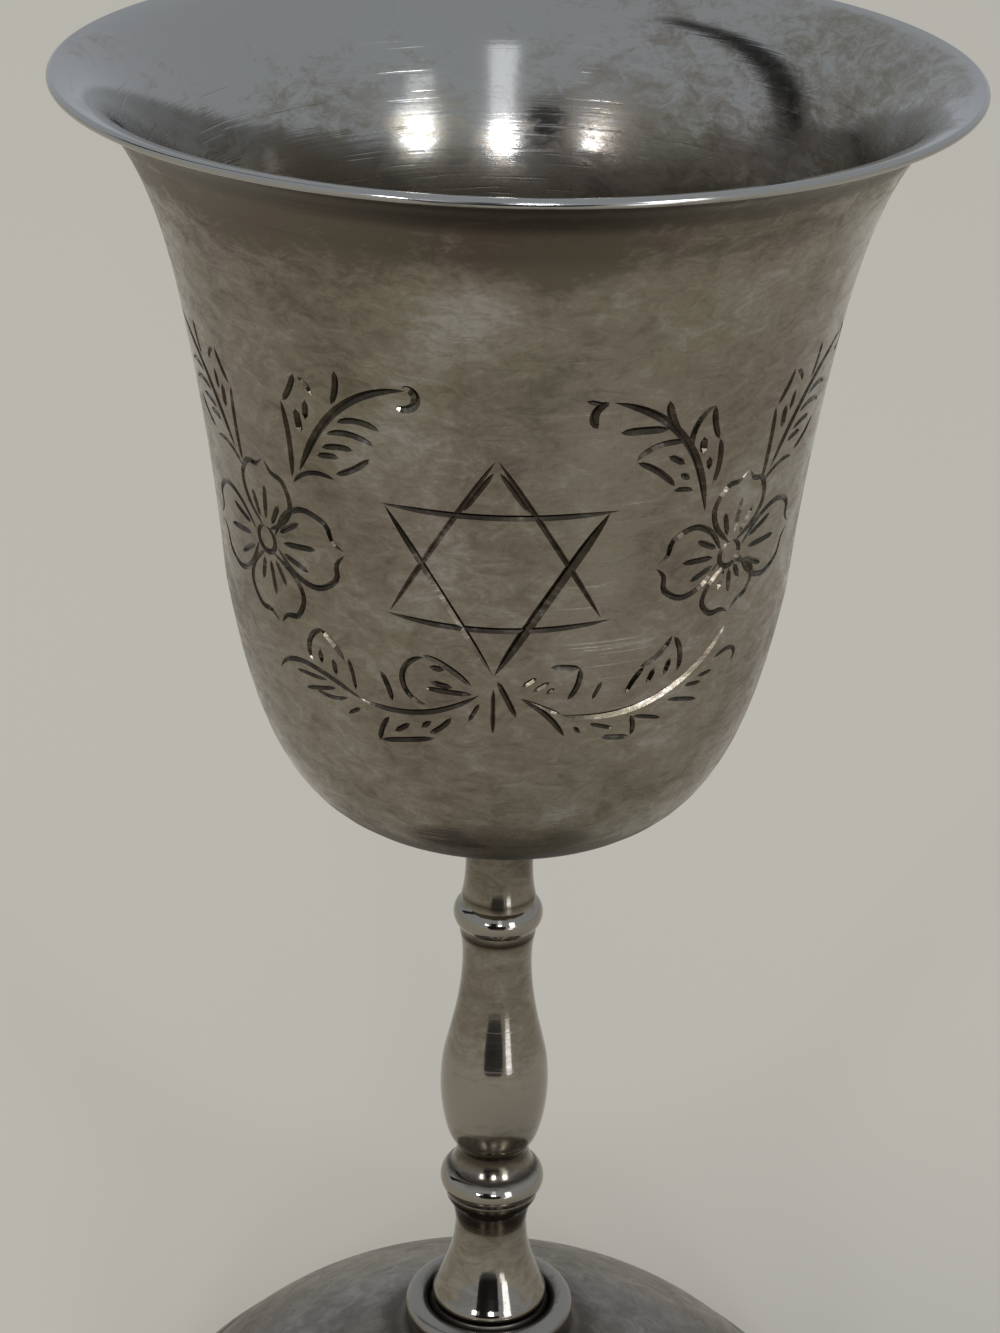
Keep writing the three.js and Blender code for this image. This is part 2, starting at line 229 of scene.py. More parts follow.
on_outline = add(
    lathe,
    "GeometryNodeSampleIndex",
    given["Outline"],
    outline_place,
    row,
    data_type="FLOAT_VECTOR",
    domain="POINT",
)
turned_place = add(lathe, "ShaderNodeVectorRotate", out(on_outline), None, turn, rotation_type="Z_AXIS")
spun = add(lathe, "GeometryNodeSetPosition", out(grid, "Mesh"), None, out(turned_place))
print("the grid is turned by", len(lathe.nodes), "nodes")

# %% Finish the lathe: welded, shaded and given its metal
welded = add(lathe, "GeometryNodeMergeByDistance", out(spun), None, given["Weld distance"])
smooth = add(lathe, "GeometryNodeSetShadeSmooth", out(welded), domain="FACE")
bend = out(add(lathe, "GeometryNodeInputMeshEdgeAngle"), "Unsigned Angle")
too_sharp = add(
    lathe,
    "FunctionNodeCompare",
    bend,
    given["Sharp angle"],
    data_type="FLOAT",
    operation="GREATER_THAN",
)
creased = add(lathe, "GeometryNodeSetShadeSmooth", out(smooth), out(too_sharp), False, domain="EDGE")
real = add(lathe, "GeometryNodeRealizeInstances", out(creased))
painted = add(lathe, "GeometryNodeSetMaterial", out(real), None, given["Metal"])
lathe.links.new(out(painted), result["Turned piece"])
print("the whole lathe has", len(lathe.nodes), "nodes")


# %% Run a tree over an object and keep the mesh
def link(name, mesh):
    """Puts a mesh in the scene as an object at the origin."""
    thing = bpy.data.objects.new(name, mesh)
    bpy.context.scene.collection.objects.link(thing)
    return thing


def run_tree(thing, tree, values):
    """Applies a node tree to an object, with values for its named inputs, and leaves a plain mesh."""
    modifier = thing.modifiers.new(tree.name, "NODES")
    modifier.node_group = tree
    for item in tree.interface.items_tree:
        if item.item_type == "SOCKET" and item.in_out == "INPUT" and item.name in values:
            modifier[item.identifier] = values[item.name]
    thing.update_tag()
    return bake_modifiers(thing)


def bake_modifiers(thing):
    """Swaps an object's mesh for what its modifiers make of it, and takes them off."""
    evaluated = thing.evaluated_get(bpy.context.evaluated_depsgraph_get())
    mesh = bpy.data.meshes.new_from_object(evaluated)
    thing.modifiers.clear()
    thing.data = mesh
    mesh.name = thing.name
    return thing


def turned(name, outline, sides, metal):
    """A piece turned on the lathe from an outline in millimetres."""
    corners = [(r * MM, 0, z * MM) for r, z in outline]
    edges = [(i, i + 1) for i in range(len(corners) - 1)]
    mesh = bpy.data.meshes.new(name)
    mesh.from_pydata(corners, edges, [])
    thing = run_tree(link(name, mesh), lathe, {"Sides": sides, "Metal": metal})
    print(f"{name}: {len(outline)} rows, {sides} sides, {len(thing.data.polygons)} faces")
    return thing


# %% [markdown]
# ## Tarnish as a shader node group
# Silver plate that has stood for years turns straw-coloured, then brown, in soft clouds with a fine speckle
# in them. An image could be painted for it, but that needs the surface laid out flat and shows its seams.
# Noise on the object's own coordinates has none. All three pieces share the effect, so it is one node group
# with named inputs and outputs that each material uses with its own values. Two noises of different size
# add up to the clouds, and a third breaks them into speckle. The stored rings push the result towards dark
# in the corners and towards bright on the rubbed edges.
# On the bowl, the same inputs also carry painted shade under the lip and the bottom, and a painted dark
# reflection inside.


# %% Colour helpers
def srgb(red, green, blue):
    """A colour as the eye reads it, 0 to 255, turned into the linear values that a shader wants."""
    levels = [channel / 255 for channel in (red, green, blue)]
    return [c / 12.92 if c <= 0.04045 else ((c + 0.055) / 1.055) ** 2.4 for c in levels] + [1]


def blend(tree, share, first, second):
    """Mixes two colours."""
    return out(add(tree, "ShaderNodeMix", share, first, second, data_type="RGBA"))


def ramp(tree, value, low, high, first=0.0, last=1.0):
    """Maps low..high onto first..last with soft ends."""
    node = add(tree, "ShaderNodeMapRange", value, low, high, first, last, interpolation_type="SMOOTHSTEP")
    return out(node)


def noise(tree, place, scale, detail=2.0, roughness=0.5, distortion=0.0):
    """Soft random values, mostly between 0.3 and 0.7."""
    node = add(tree, "ShaderNodeTexNoise", place, scale, detail, roughness, None, distortion)
    return node.outputs["Fac"]


def stretched(tree, place, turn_by, scale):
    """The place turned and squeezed, so that a noise on it draws out into streaks."""
    return out(add(tree, "ShaderNodeMapping", place, None, turn_by, scale))


# %% Start the tarnish group: clouds, patches and speckle
CLOUD_SHARE = 0.6  # how much each noise counts
PATCH_SHARE = 0.62
SPECKLE_SHARE = 0.2
AVERAGE = (CLOUD_SHARE + PATCH_SHARE + SPECKLE_SHARE) / 2  # each noise is a half on average
FLATTENED = (1, 1, 1.9)  # patches are wider than they are high

tarnish, given, result = new_tree(
    "tarnish",
    "ShaderNodeTree",
    [
        ("Place", "NodeSocketVector"),
        ("Silver", "NodeSocketColor"),
        ("Straw", "NodeSocketColor"),
        ("Brown", "NodeSocketColor"),
        ("Black", "NodeSocketColor"),
        ("Spread", "NodeSocketFloat", 0.5),
        ("Corners", "NodeSocketFloat", 0.0),
        ("Stains", "NodeSocketFloat", 0.0),
        ("Rubbed", "NodeSocketFloat", 0.0),
    ],
    [
        ("Color", "NodeSocketColor"),
        ("Dullness", "NodeSocketFloat"),
        ("Relief", "NodeSocketFloat"),
    ],
)
clouds = noise(tarnish, given["Place"], scale=62, detail=4, roughness=0.6, distortion=0.4)
flattened = stretched(tarnish, given["Place"], (0, 0, 0), FLATTENED)
patches = noise(tarnish, flattened, scale=330, detail=7, roughness=0.72, distortion=0.9)
speckle = noise(tarnish, flattened, scale=1700, detail=3, roughness=0.7)
grainy = calc(tarnish, "MULTIPLY", clouds, CLOUD_SHARE)
grainy = calc(tarnish, "MULTIPLY_ADD", patches, PATCH_SHARE, grainy)
grainy = calc(tarnish, "MULTIPLY_ADD", speckle, SPECKLE_SHARE, grainy)
print("three noises:", len(tarnish.nodes), "nodes")

# %% Finish the tarnish group: from an amount to a colour
CORNER_PUSH = 0.5  # how far a corner (and the bowl's painted shade) and a rubbed place move the amount of tarnish
RUBBED_PUSH = -0.4
TO_STRAW = (0.32, 0.56)  # between these amounts one colour gives way to the next
TO_BROWN = (0.5, 0.78)
TO_DULL = (0.35, 0.8)
TO_BLACK = (0.25, 1.0)  # and between these closenesses to a corner or to the bowl's painted shade
BLACK_GRAIN = (0.45, 0.75, 0.55, 1.0)  # the grain thins the black out to a little over a half
HUE_DRIFT = (0.35, 0.65, 0.488, 0.514)  # a hue of 0.5 leaves a colour as it is

# On the bowl, the corner, stain and rubbed inputs also hold painted shade and a painted dark reflection.
level = calc(tarnish, "ADD", grainy, calc(tarnish, "SUBTRACT", given["Spread"], AVERAGE))
level = calc(tarnish, "ADD", given["Stains"], level)
level = calc(tarnish, "MULTIPLY_ADD", given["Corners"], CORNER_PUSH, level)
level = calc(tarnish, "MULTIPLY_ADD", given["Rubbed"], RUBBED_PUSH, level)
straw_share = ramp(tarnish, level, *TO_STRAW)
brown_share = ramp(tarnish, level, *TO_BROWN)
corner_and_shade = ramp(tarnish, given["Corners"], *TO_BLACK)
black_share = calc(tarnish, "MULTIPLY", corner_and_shade, ramp(tarnish, grainy, *BLACK_GRAIN))
warm = blend(tarnish, straw_share, given["Silver"], given["Straw"])
warm = blend(tarnish, brown_share, warm, given["Brown"])
warm = blend(tarnish, black_share, warm, given["Black"])
drift = ramp(tarnish, noise(tarnish, given["Place"], scale=85, detail=3), *HUE_DRIFT)
tinted = add(tarnish, "ShaderNodeHueSaturation", drift, 1.0, 1.0, 1.0, warm)
tarnish.links.new(out(tinted), result["Color"])
tarnish.links.new(ramp(tarnish, level, *TO_DULL), result["Dullness"])
tarnish.links.new(calc(tarnish, "MULTIPLY_ADD", speckle, 0.5, patches), result["Relief"])
print("the whole tarnish group:", len(tarnish.nodes), "nodes")

# %% [markdown]
# ## Tool marks and handling scratches
# Spinning a bowl over a form leaves very fine rings, and years of drying with a cloth add thin scratches
# that run every way. They are far too fine to cut into the mesh, so the material makes them. Both are
# noises pulled out into streaks. For the rings, the noise is squeezed hard along the outline, so that it
# changes from ring to ring and hardly at all along one. A flared or domed sheet also moves outwards, so the
# group has an input that says how much of the radius to count along with the height.

# %% Build the marks group
TURNING = 26  # the rings change this fast round the cup, slowly enough to run on
PULLED_OUT = (60, 60, 2400)  # a noise squeezed this hard one way draws out into hairlines
SCRATCH_TURNS = ((0.5, 0.2, 0.9), (-0.7, 0.5, 0.1), (0.2, -0.9, 1.7))
CRESTS = (0.66, 0.72)  # only the noise's crests are scratches
WORN_PATCHES = (0.45, 0.6)  # and only some patches have any

marks, given, result = new_tree(
    "tool marks",
    "ShaderNodeTree",
    [
        ("Place", "NodeSocketVector"),
        ("Outwards", "NodeSocketFloat", 1.0),
        ("Fineness", "NodeSocketFloat", 2600.0),
    ],
    [
        ("Rings", "NodeSocketFloat"),
        ("Scratches", "NodeSocketFloat"),
    ],
)
split = add(marks, "ShaderNodeSeparateXYZ", given["Place"])
across = calc(marks, "POWER", out(split, "X"), 2)
deep = calc(marks, "POWER", out(split, "Y"), 2)
radius = calc(marks, "SQRT", calc(marks, "ADD", across, deep))
along = calc(marks, "MULTIPLY_ADD", radius, given["Outwards"], out(split, "Z"))
ring_place = add(
    marks,
    "ShaderNodeCombineXYZ",
    calc(marks, "MULTIPLY", out(split, "X"), TURNING),
    calc(marks, "MULTIPLY", out(split, "Y"), TURNING),
    calc(marks, "MULTIPLY", along, given["Fineness"]),
)
rings = noise(marks, out(ring_place), scale=1, detail=3, roughness=0.6)
marks.links.new(rings, result["Rings"])
streaks = None
for turn_by in SCRATCH_TURNS:
    pulled = stretched(marks, given["Place"], turn_by, PULLED_OUT)
    streak = ramp(marks, noise(marks, pulled, scale=1, detail=1), *CRESTS)
    streaks = streak if streaks is None else calc(marks, "MAXIMUM", streaks, streak)
worn = ramp(marks, noise(marks, given["Place"], scale=110, detail=2), *WORN_PATCHES)
marks.links.new(calc(marks, "MULTIPLY", streaks, worn), result["Scratches"])
print("marks group:", len(marks.nodes), "nodes")


# %% [markdown]
# ## The metals
# One function builds a plated metal from the two groups, so that the pieces look as if they went through
# the same years, and differ only in a few values. The Principled shader stays in the material itself, fully
# metallic, and only its colour, roughness and bump vary. The bowl is a little dull, the stem keeps a high
# polish because it is small and handled, and the foot is the dullest. The sides of the engraved cuts have
# their own, much darker metal: no cloth gets into them.


# %% Place groups and stored numbers in a material
def group(tree, used, **values):
    """Places a node group in a material with values for its inputs; underscores stand for spaces."""
    node = tree.nodes.new("ShaderNodeGroup")
    node.node_tree = used
    for name, value in values.items():
        socket = node.inputs[name.replace("_", " ")]
        if isinstance(value, bpy.types.NodeSocket):
            tree.links.new(value, socket)
        else:
            socket.default_value = value
    return node.outputs


def stored(tree, name):
    """What the vertices keep under a name."""
    node = tree.nodes.new("ShaderNodeAttribute")
    node.attribute_name = name
    return node.outputs["Fac"]


# %% Build a plated metal
SCRATCHES_DULL = 0.12  # what scratches and rings do to the roughness
RINGS_DULL = 0.08
TARNISH_RELIEF = 0.004  # millimetres


def plated(name, colours, *, spread, outwards, fineness, gloss, dull, ring_depth, scratch_depth):
    """A silver plate. Gloss and dull are its roughness where it is clean and where it is tarnished."""
    material = bpy.data.materials.new(name)
    material.use_nodes = True
    tree = material.node_tree
    shader = tree.nodes["Principled BSDF"]
    shader.inputs["Metallic"].default_value = 1
    place = out(tree.nodes.new("ShaderNodeTexCoord"), "Object")
    aged = group(
        tree,
        tarnish,
        Place=place,
        Silver=colours[0],
        Straw=colours[1],
        Brown=colours[2],
        Black=colours[3],
        Spread=spread,
        Corners=stored(tree, "corners"),
        Stains=stored(tree, "stains"),
        Rubbed=stored(tree, "rubbed"),
    )
    tooled = group(tree, marks, Place=place, Outwards=outwards, Fineness=fineness)
    tree.links.new(aged["Color"], shader.inputs["Base Color"])
    roughness = calc(tree, "MULTIPLY_ADD", aged["Dullness"], dull - gloss, gloss)
    roughness = calc(tree, "MULTIPLY_ADD", tooled["Scratches"], SCRATCHES_DULL, roughness)
    roughness = calc(tree, "SUBTRACT", roughness, RINGS_DULL / 2)
    roughness = calc(tree, "MULTIPLY_ADD", tooled["Rings"], RINGS_DULL, roughness)
    tree.links.new(roughness, shader.inputs["Roughness"])
    height = calc(tree, "MULTIPLY", tooled["Rings"], ring_depth)
    height = calc(tree, "MULTIPLY_ADD", tooled["Scratches"], -scratch_depth, height)
    height = calc(tree, "MULTIPLY_ADD", aged["Relief"], TARNISH_RELIEF, height)
    bump = add(tree, "ShaderNodeBump")
    bump.inputs["Strength"].default_value = 1
    bump.inputs["Distance"].default_value = MM
    tree.links.new(height, bump.inputs["Height"])
    tree.links.new(bump.outputs["Normal"], shader.inputs["Normal"])
    return material


# %% Four metals, each with its colours from clean silver to black
BOWL_COLOURS = [srgb(172, 169, 164), srgb(142, 133, 120), srgb(108, 98, 85), srgb(46, 41, 35)]
STEM_COLOURS = [srgb(158, 151, 141), srgb(132, 124, 112), srgb(96, 87, 76), srgb(32, 29, 26)]
FOOT_COLOURS = [srgb(152, 146, 138), srgb(126, 118, 108), srgb(94, 86, 76), srgb(36, 33, 29)]
CUT_COLOURS = [srgb(150, 144, 134), srgb(74, 66, 56), srgb(44, 38, 32), srgb(26, 23, 20)]

bowl_metal = plated(
    "bowl plate",
    BOWL_COLOURS,
    spread=0.54,
    outwards=1.0,
    fineness=2600,
    gloss=0.11,
    dull=0.44,
    ring_depth=0.006,
    scratch_depth=0.008,
)
stem_metal = plated(
    "stem plate",
    STEM_COLOURS,
    spread=0.46,
    outwards=0.6,
    fineness=3200,
    gloss=0.07,
    dull=0.2,
    ring_depth=0.0015,
    scratch_depth=0.002,
)
foot_metal = plated(
    "foot plate",
    FOOT_COLOURS,
    spread=0.56,
    outwards=-0.9,
    fineness=2600,
    gloss=0.26,
    dull=0.42,
    ring_depth=0.003,
    scratch_depth=0.004,
)
cut_metal = plated(
    "engraved cut",
    CUT_COLOURS,
    spread=0.56,
    outwards=0.0,
    fineness=2600,
    gloss=0.12,
    dull=0.26,
    ring_depth=0.001,
    scratch_depth=0.0,
)
print("metals:", [material.name for material in (bowl_metal, stem_metal, foot_metal, cut_metal)])

# %% [markdown]
# ## The bowl's outline
# The bowl is spun from sheet silver plate: flat where it meets the stem, round at the bottom, nearly
# upright along the wall, and flared at the top until it is almost level. Its lip is a half circle as wide
# as the sheet is thick. A single surface with a Solidify modifier would be quicker, but its lip would be
# square. Here the inside is drawn as the outside moved inwards, and the lip is an arc between the two.

# %% Draw the bowl
WALL = 0.85  # thickness of the sheet
NECK_R = 3.45  # top of the stem
WAIST = [29.1, 127.0]  # where the flare runs into the wall
BELLY = [25.55, 101.0]  # where the wall runs into the round bottom
LIP = [RIM_R - WALL / 2, HEIGHT - WALL / 2]


def bowl_outside(bottom_steps, wall_steps, flare_steps):
    """The outside of the bowl from the stem up to the lip."""
    lip = [LIP[0], LIP[1] - WALL / 2]
    return np.concatenate(
        [
            [[NECK_R, BOWL_Z]],
            curve([NECK_R, BOWL_Z], [15, BOWL_Z], [21.7, BOWL_Z], BELLY, bottom_steps),
            curve(BELLY, [25.87, 103], [26.2, 111.5], WAIST, wall_steps),
            curve(WAIST, [29.6, 129.6], [32.4, lip[1] - 1.2], lip, flare_steps),
        ]
    )


def bowl_outline():
    """The closed outline of the sheet: outside, lip, inside."""
    outside = bowl_outside(20, 14, 22)
    inside = inset(bowl_outside(20, 10, 20), WALL)[::-1]
    inside[0] = [LIP[0], HEIGHT]
    lip = arc(LIP, WALL / 2, -90, 90, 10)[1:-1]
    return np.concatenate([[[0, BOWL_Z]], outside, lip, inside, [[0, BOWL_Z + WALL]]])


BOWL_SIDES = 288
bowl = turned("silver_bowl", bowl_outline(), BOWL_SIDES, bowl_metal)

# %% [markdown]
# ## The engraving, laid out flat
# Round the bowl run a Star of David, flowers, leafy sprigs and two branches, all cut freehand with a
# graver, a pointed steel that throws up a curl of metal and leaves a groove with a V section. A table of
# points would be one way to write it down. An engraver thinks in single cuts, so here each cut says where
# the tool goes in, which way it heads, how far it runs and how much it turns on its way. The drawing is
# laid out flat in millimetres: u runs round the bowl from the front towards +X, and z is the height.

# %% Single cuts
UNROLL_R = 27.0  # the radius at which the flat drawing has its true width
SWING = -0.45  # the whole drawing sits this far round from the front
FINE = 0.45  # widths of the cuts
PLAIN = 0.58
BOLD = 0.74
STRIDE = 0.55  # distance between the points of a cut
BEND = 14  # degrees that a cut may turn from one point to the next

cuts = []  # each is (points, width)


def off(point, heading, distance):
    """A point some way off another, in a direction in degrees from +u."""
    angle = math.radians(heading)
    return [point[0] + distance * math.cos(angle), point[1] + distance * math.sin(angle)]


def cut(start, heading, length, turn=0.0, width=PLAIN, late=1.0):
    """One cut. With late over 1 it turns near its end."""
    steps = max(3, math.ceil(length / STRIDE), math.ceil(abs(turn) / BEND))
    path = [list(start)]
    for i in range(steps):
        path.append(off(path[-1], heading + turn * ((i + 0.5) / steps) ** late, length / steps))
    cuts.append((np.array(path), width))


def span(a, b, sag, width):
    """A cut from corner to corner that sags by a distance in its middle."""
    a, b = np.array(a, float), np.array(b, float)
    t = np.linspace(0, 1, math.ceil(np.linalg.norm(b - a) / STRIDE) + 1)[:, None]
    path = a + (b - a) * t
    path[:, 1:] -= 4 * sag * t * (1 - t)
    cuts.append((path, width))


def trace(points, width=PLAIN):
    """A smooth cut through a few points."""
    points = np.array(points, float)
    doubled = np.concatenate([[2 * points[0] - points[1]], points, [2 * points[-1] - points[-2]]])
    path = [points[0]]
    for p0, p1, p2, p3 in zip(doubled, doubled[1:], doubled[2:], doubled[3:]):
        steps = max(1, math.ceil(np.linalg.norm(p2 - p1) / STRIDE))
        for t in np.linspace(0, 1, steps + 1)[1:]:
            pull = (p2 - p0) * t + (2 * p0 - 5 * p1 + 4 * p2 - p3) * t**2
            pull += (3 * p1 - p0 - 3 * p2 + p3) * t**3
            path.append(p1 + pull / 2)
    cuts.append((np.array(path), width))


# %% [markdown]
# The star is two crossed triangles whose cuts overshoot at the corners, and its slanted sides were gone
# over twice near the upper point. It could be drawn with a ruler, but then it would look printed on: the
# level cuts sag a little, and each cut has a width of its own. A flower is a ring with petals round it,
# each petal made of two edges and three veins. A petal's edge is drawn once, as shares of the petal's
# length and of its half width.

# %% The star
OVERSHOOT = [0.4, 1.0]  # how far the level cuts run past their left and right corners
SECOND_START = [0.2, 1.2]  # the second pass starts this far aside from the upper point, and below it
SECOND_LENGTH = 4.6
SLANT = 33  # degrees between a slanted side and the upright


def star(centre, reach, half, sags, widths):
    """Two crossed triangles of overshooting cuts; the level ones sag."""
    u, z = centre
    for up, sag, (left_width, right_width) in zip((1, -1), sags, widths):
        left, right = ([u + side * half, z - up * reach / 2] for side in (-1, 1))
        apex = [u, z + up * reach]
        span(off(left, 180, OVERSHOOT[0]), off(right, 0, OVERSHOOT[1]), sag, PLAIN)
        span(apex, left, 0, left_width)
        span(apex, right, 0, right_width)
    for side in (-1, 1):
        start = [u + side * SECOND_START[0], z + reach - SECOND_START[1]]
        cut(start, -90 + side * SLANT, SECOND_LENGTH, 0, FINE)


# %% The flowers
PETAL_EDGE = [[0.13, 0.1], [0.34, 0.74], [0.6, 1], [0.84, 0.72], [0.88, 0.3], [1, 0.02]]
VEIN_START = 0.24  # a petal's veins, as shares of its length, and the degrees between them
LONG_VEIN = 0.44
SHORT_VEIN = 0.34
VEIN_SPREAD = 24


def flower(centre, ring, petals):
    """A ring with petals: [heading, length, half width]."""
    cut(off(centre, 90, ring), 180, 2 * math.pi * ring, 360)
    for heading, length, half in petals:
        for side in (1, -1):
            edge = []
            for far, aside in PETAL_EDGE:
                edge.append(off(off(centre, heading, length * far), heading + side * 90, half * aside))
            trace(edge)
        start = length * VEIN_START
        cut(off(centre, heading, start), heading, length * LONG_VEIN)
        for vein in (heading - VEIN_SPREAD, heading + VEIN_SPREAD):
            cut(off(centre, vein, start), vein, length * SHORT_VEIN)


# %% [markdown]
# A sprig is a list of cuts laid out from its root, growing to the right: [aside, up, heading, length, turn,
# width, late]. One leaf could be drawn and repeated, but an engraver's leaves are all a little different,
# so each cut is listed. The mirrored sprig on the other side comes from the same list.

# %% Two sprigs that rise from the flowers
CURLED_SPRIG = [
    [0, 0, 63, 15.2, -60, BOLD, 1.9],  # the stalk, and the curl at its tip
    [10.2, 10.1, 5, 4, -225, BOLD],
    [4.4, 5.7, 32, 4.1, -66],  # four ribs of a feathered leaf, and its lower edge
    [3.3, 4.4, 28, 4.6, -62],
    [2.7, 3, 24, 3.2, -32],
    [2.1, 2.1, 22, 2.4, -28],
    [-0.9, -1.3, 56, 5.3, -76, FINE],
    [3.8, 0.8, 18, 4.1, 30],
    [-0.9, -0.8, 82, 7.3, 18],  # the pointed leaf behind the stalk, and its veins
    [-0.8, 6.4, 50, 3.4, 24],
    [1.1, 9.1, -18, 2, -60, FINE],
    [0.7, 3.8, 95, 2.3, 0, BOLD],
    [1.4, 5.2, 83, 2],
    [4.1, 7.3, 62, 3.4, 34],  # a bud
]
LEAFY_SPRIG = [
    [0, 0, 79, 16.4, -66, BOLD, 1.3],  # the stalk, and the hook at its tip
    [10, 11.9, -10, 3, -125, BOLD],
    [11.9, 12.2, 198, 2, 0, FINE],
    [3.6, 7.9, 52, 4, 30, BOLD],  # a bud and a rib
    [4.8, 8.8, 8, 4.2, -10, BOLD],
    [2.9, 7.4, 8, 4.9, -66, PLAIN, 1.8],  # the leaf in front of the stalk
    [7.3, 6.1, 202, 4.8, 30],
    [3.7, 2.9, 176, 2.2, 30, FINE],
    [4.6, 6.3, 206, 2.1, 12],
    [3.2, 4.4, 210, 1.3, 12],
    [2.4, 5.9, 80, 5.1, 80, PLAIN, 1.6],  # the leaf behind it
    [0.8, 10.3, 266, 3.6, -26],
    [-0.3, 7, 250, 4.6, 40],
    [1.4, 7.5, 264, 1.7, 0, BOLD],
    [0.5, 5.5, 262, 1.4],
]
print("sprigs of", len(CURLED_SPRIG), "and", len(LEAFY_SPRIG), "cuts")

# %% Two branches that meet under the star
ROUND_LEAF_BRANCH = [
    [1.1, -0.7, -36, 12.5, 50],  # the stalk, which droops at its tip
    [12.7, -3.1, 22, 11.6, -84, PLAIN, 2.6],
    [1.9, 0, 40, 5.3, -30, PLAIN, 2],  # the round leaf above it, and its veins
    [6.2, 2.4, -4, 7.2, -176],
    [1.8, -0.8, 0, 4.6, 6],
    [3.6, -0.3, 10, 2.2],
    [4.3, 1.4, 6, 1.6],
    [9.5, -2.6, 84, 3.2, -26],  # two blades of grass
    [13.3, -2.4, 88, 3.3, -14, FINE],
    [14.2, 0.4, 55, 3.6, -25],  # the far leaf
    [16.4, 2.8, -10, 4.6, -110],
    [17, -0.7, 90, 1.6],
    [15.4, -1.4, 85, 1.7],
    [16.4, -2.2, -2, 4.3, 0, FINE],  # ribs under the tip
    [15.5, -2.7, -16, 4.4, 0, FINE],
    [14.2, -3.3, -26, 4.4, 46, FINE],
    [12.9, -4, -32, 2.1, 0, FINE],
    [3.8, -3.3, -56, 3.1, 30],  # the leaf below the stalk
    [5.4, -5.7, -12, 6],
    [11.3, -7.1, 100, 3.3, 30],
    [7.8, -4.5, -34, 2.2],
    [5.7, -3.9, -38, 1.5],
]
RISING_BRANCH = [
    [6, -2.8, -14, 19.6, 66, BOLD],  # the stalk
    [2.4, -1, -28, 6.2, -32],
    [2.5, -1.1, -24, 4.2, 0, FINE],
    [5, 2, -2, 2.8, -6],  # the hooked leaf beside the star's foot, and its veins
    [7.7, 1.9, -80, 3.6, -55],
    [2.5, 0.1, 35, 1.7, 0, FINE],
    [3.5, -0.4, 33, 1.9, 0, FINE],
    [4.7, -0.7, 41, 1.1, 0, FINE],
    [9, -1.6, 62, 2.1, 8, FINE],
    [12.3, -1.5, 72, 3.1, -30],  # the leaf above the stalk
    [13.4, 1.1, 12, 4.2, 50],
    [16.8, 3.4, -48, 3.9, -60],
    [14.4, -0.9, 70, 1.8],
    [16.1, -0.3, 72, 1.8],
    [10.3, -5.6, -8, 3.2],  # the leaf below it
    [13.5, -6, 70, 2.4, 60],
    [9, -4, -18, 2.8, 0, FINE],
    [7.5, -4.1, -48, 1.2, 0, FINE],
    [13.3, -3.9, -10, 3.6, -10, FINE],  # ribs towards the tip
    [17, -3, -9, 4.1, -10, FINE],
    [18.8, -2, -5, 2.3, 0, FINE],
    [20.3, -1.5, 3, 2.1, 0, FINE],
    [22.1, -0.2, 20, 4.6, -190, FINE, 2.6],
]
print("branches of", len(ROUND_LEAF_BRANCH), "and", len(RISING_BRANCH), "cuts")


# %% Lay out the whole drawing
def sprig(root, side, pattern):
    """A sprig grown from a root towards one side: 1 for +u, -1 for its mirror image."""
    for aside, up, heading, length, *rest in pattern:
        turn, *style = rest or [0]
        start = [root[0] + side * aside, root[1] + up]
        cut(start, heading if side > 0 else 180 - heading, length, side * turn, *style)


STAR = [-0.5, 112.3]
TIE = [STAR[0], 100.9]  # where the two lower branches meet, under the star
BACK = math.pi * UNROLL_R  # half way round
HEART_R = 1.2  # the ring in a flower's middle
LEFT_PETALS = [[8, 9.7, 3.6], [83, 8, 3.3], [187, 10, 3.9], [277, 7.8, 3.9]]
RIGHT_PETALS = [[-2, 10.2, 3.5], [84, 7.8, 3.2], [176, 8.2, 3.3], [280, 6, 3.3]]

star(STAR, reach=10.3, half=9.4, sags=[0.7, 0.3], widths=[[0.5, 0.5], [0.62, 0.95]])
cut(TIE, -90, 4.9, 0, FINE)
cut(off(TIE, 66, 0.8), -64, 4.2)
cut(off(TIE, 233, 2), -118, 2.3, 0, FINE)
sprig(TIE, -1, ROUND_LEAF_BRANCH)
sprig(TIE, 1, RISING_BRANCH)
flower([-23.5, 110.4], HEART_R, LEFT_PETALS)
sprig([-18, 118.4], 1, CURLED_SPRIG)
sprig([-26.7, 117.6], -1, CURLED_SPRIG)
flower([21.7, 110.9], HEART_R, RIGHT_PETALS)
sprig([17.9, 115.7], -1, LEAFY_SPRIG)
sprig([25.4, 117.6], 1, CURLED_SPRIG)
for side in (-1, 1):
    sprig([BACK, TIE[1]], side, ROUND_LEAF_BRANCH)
print(len(cuts), "cuts")

# %% [markdown]
# ## The graver as Geometry Nodes
# To cut a groove, Blender needs the shape of the metal that comes away: a three-sided bar that follows the
# cut with its sharp edge down. Bump in the material could fake it, but then it would be gone at the bowl's
# edge and from the mesh itself. The tree below draws each cut as a curve, swells and thins it along its
# length as a hand does, and sweeps a V section along it. The bars are still flat, and a last step wraps them
# round the bowl.

# %% Start the graver: how deep it goes along a cut
STEEPNESS = 0.34  # depth of a cut for each millimetre of its width
CLEARANCE = 0.3  # the back of the bar stays this far out of the metal
END_LIFT = 0.02  # and so does its edge at the two ends of a cut
SWELL = 5  # higher values keep the full depth nearer to the ends

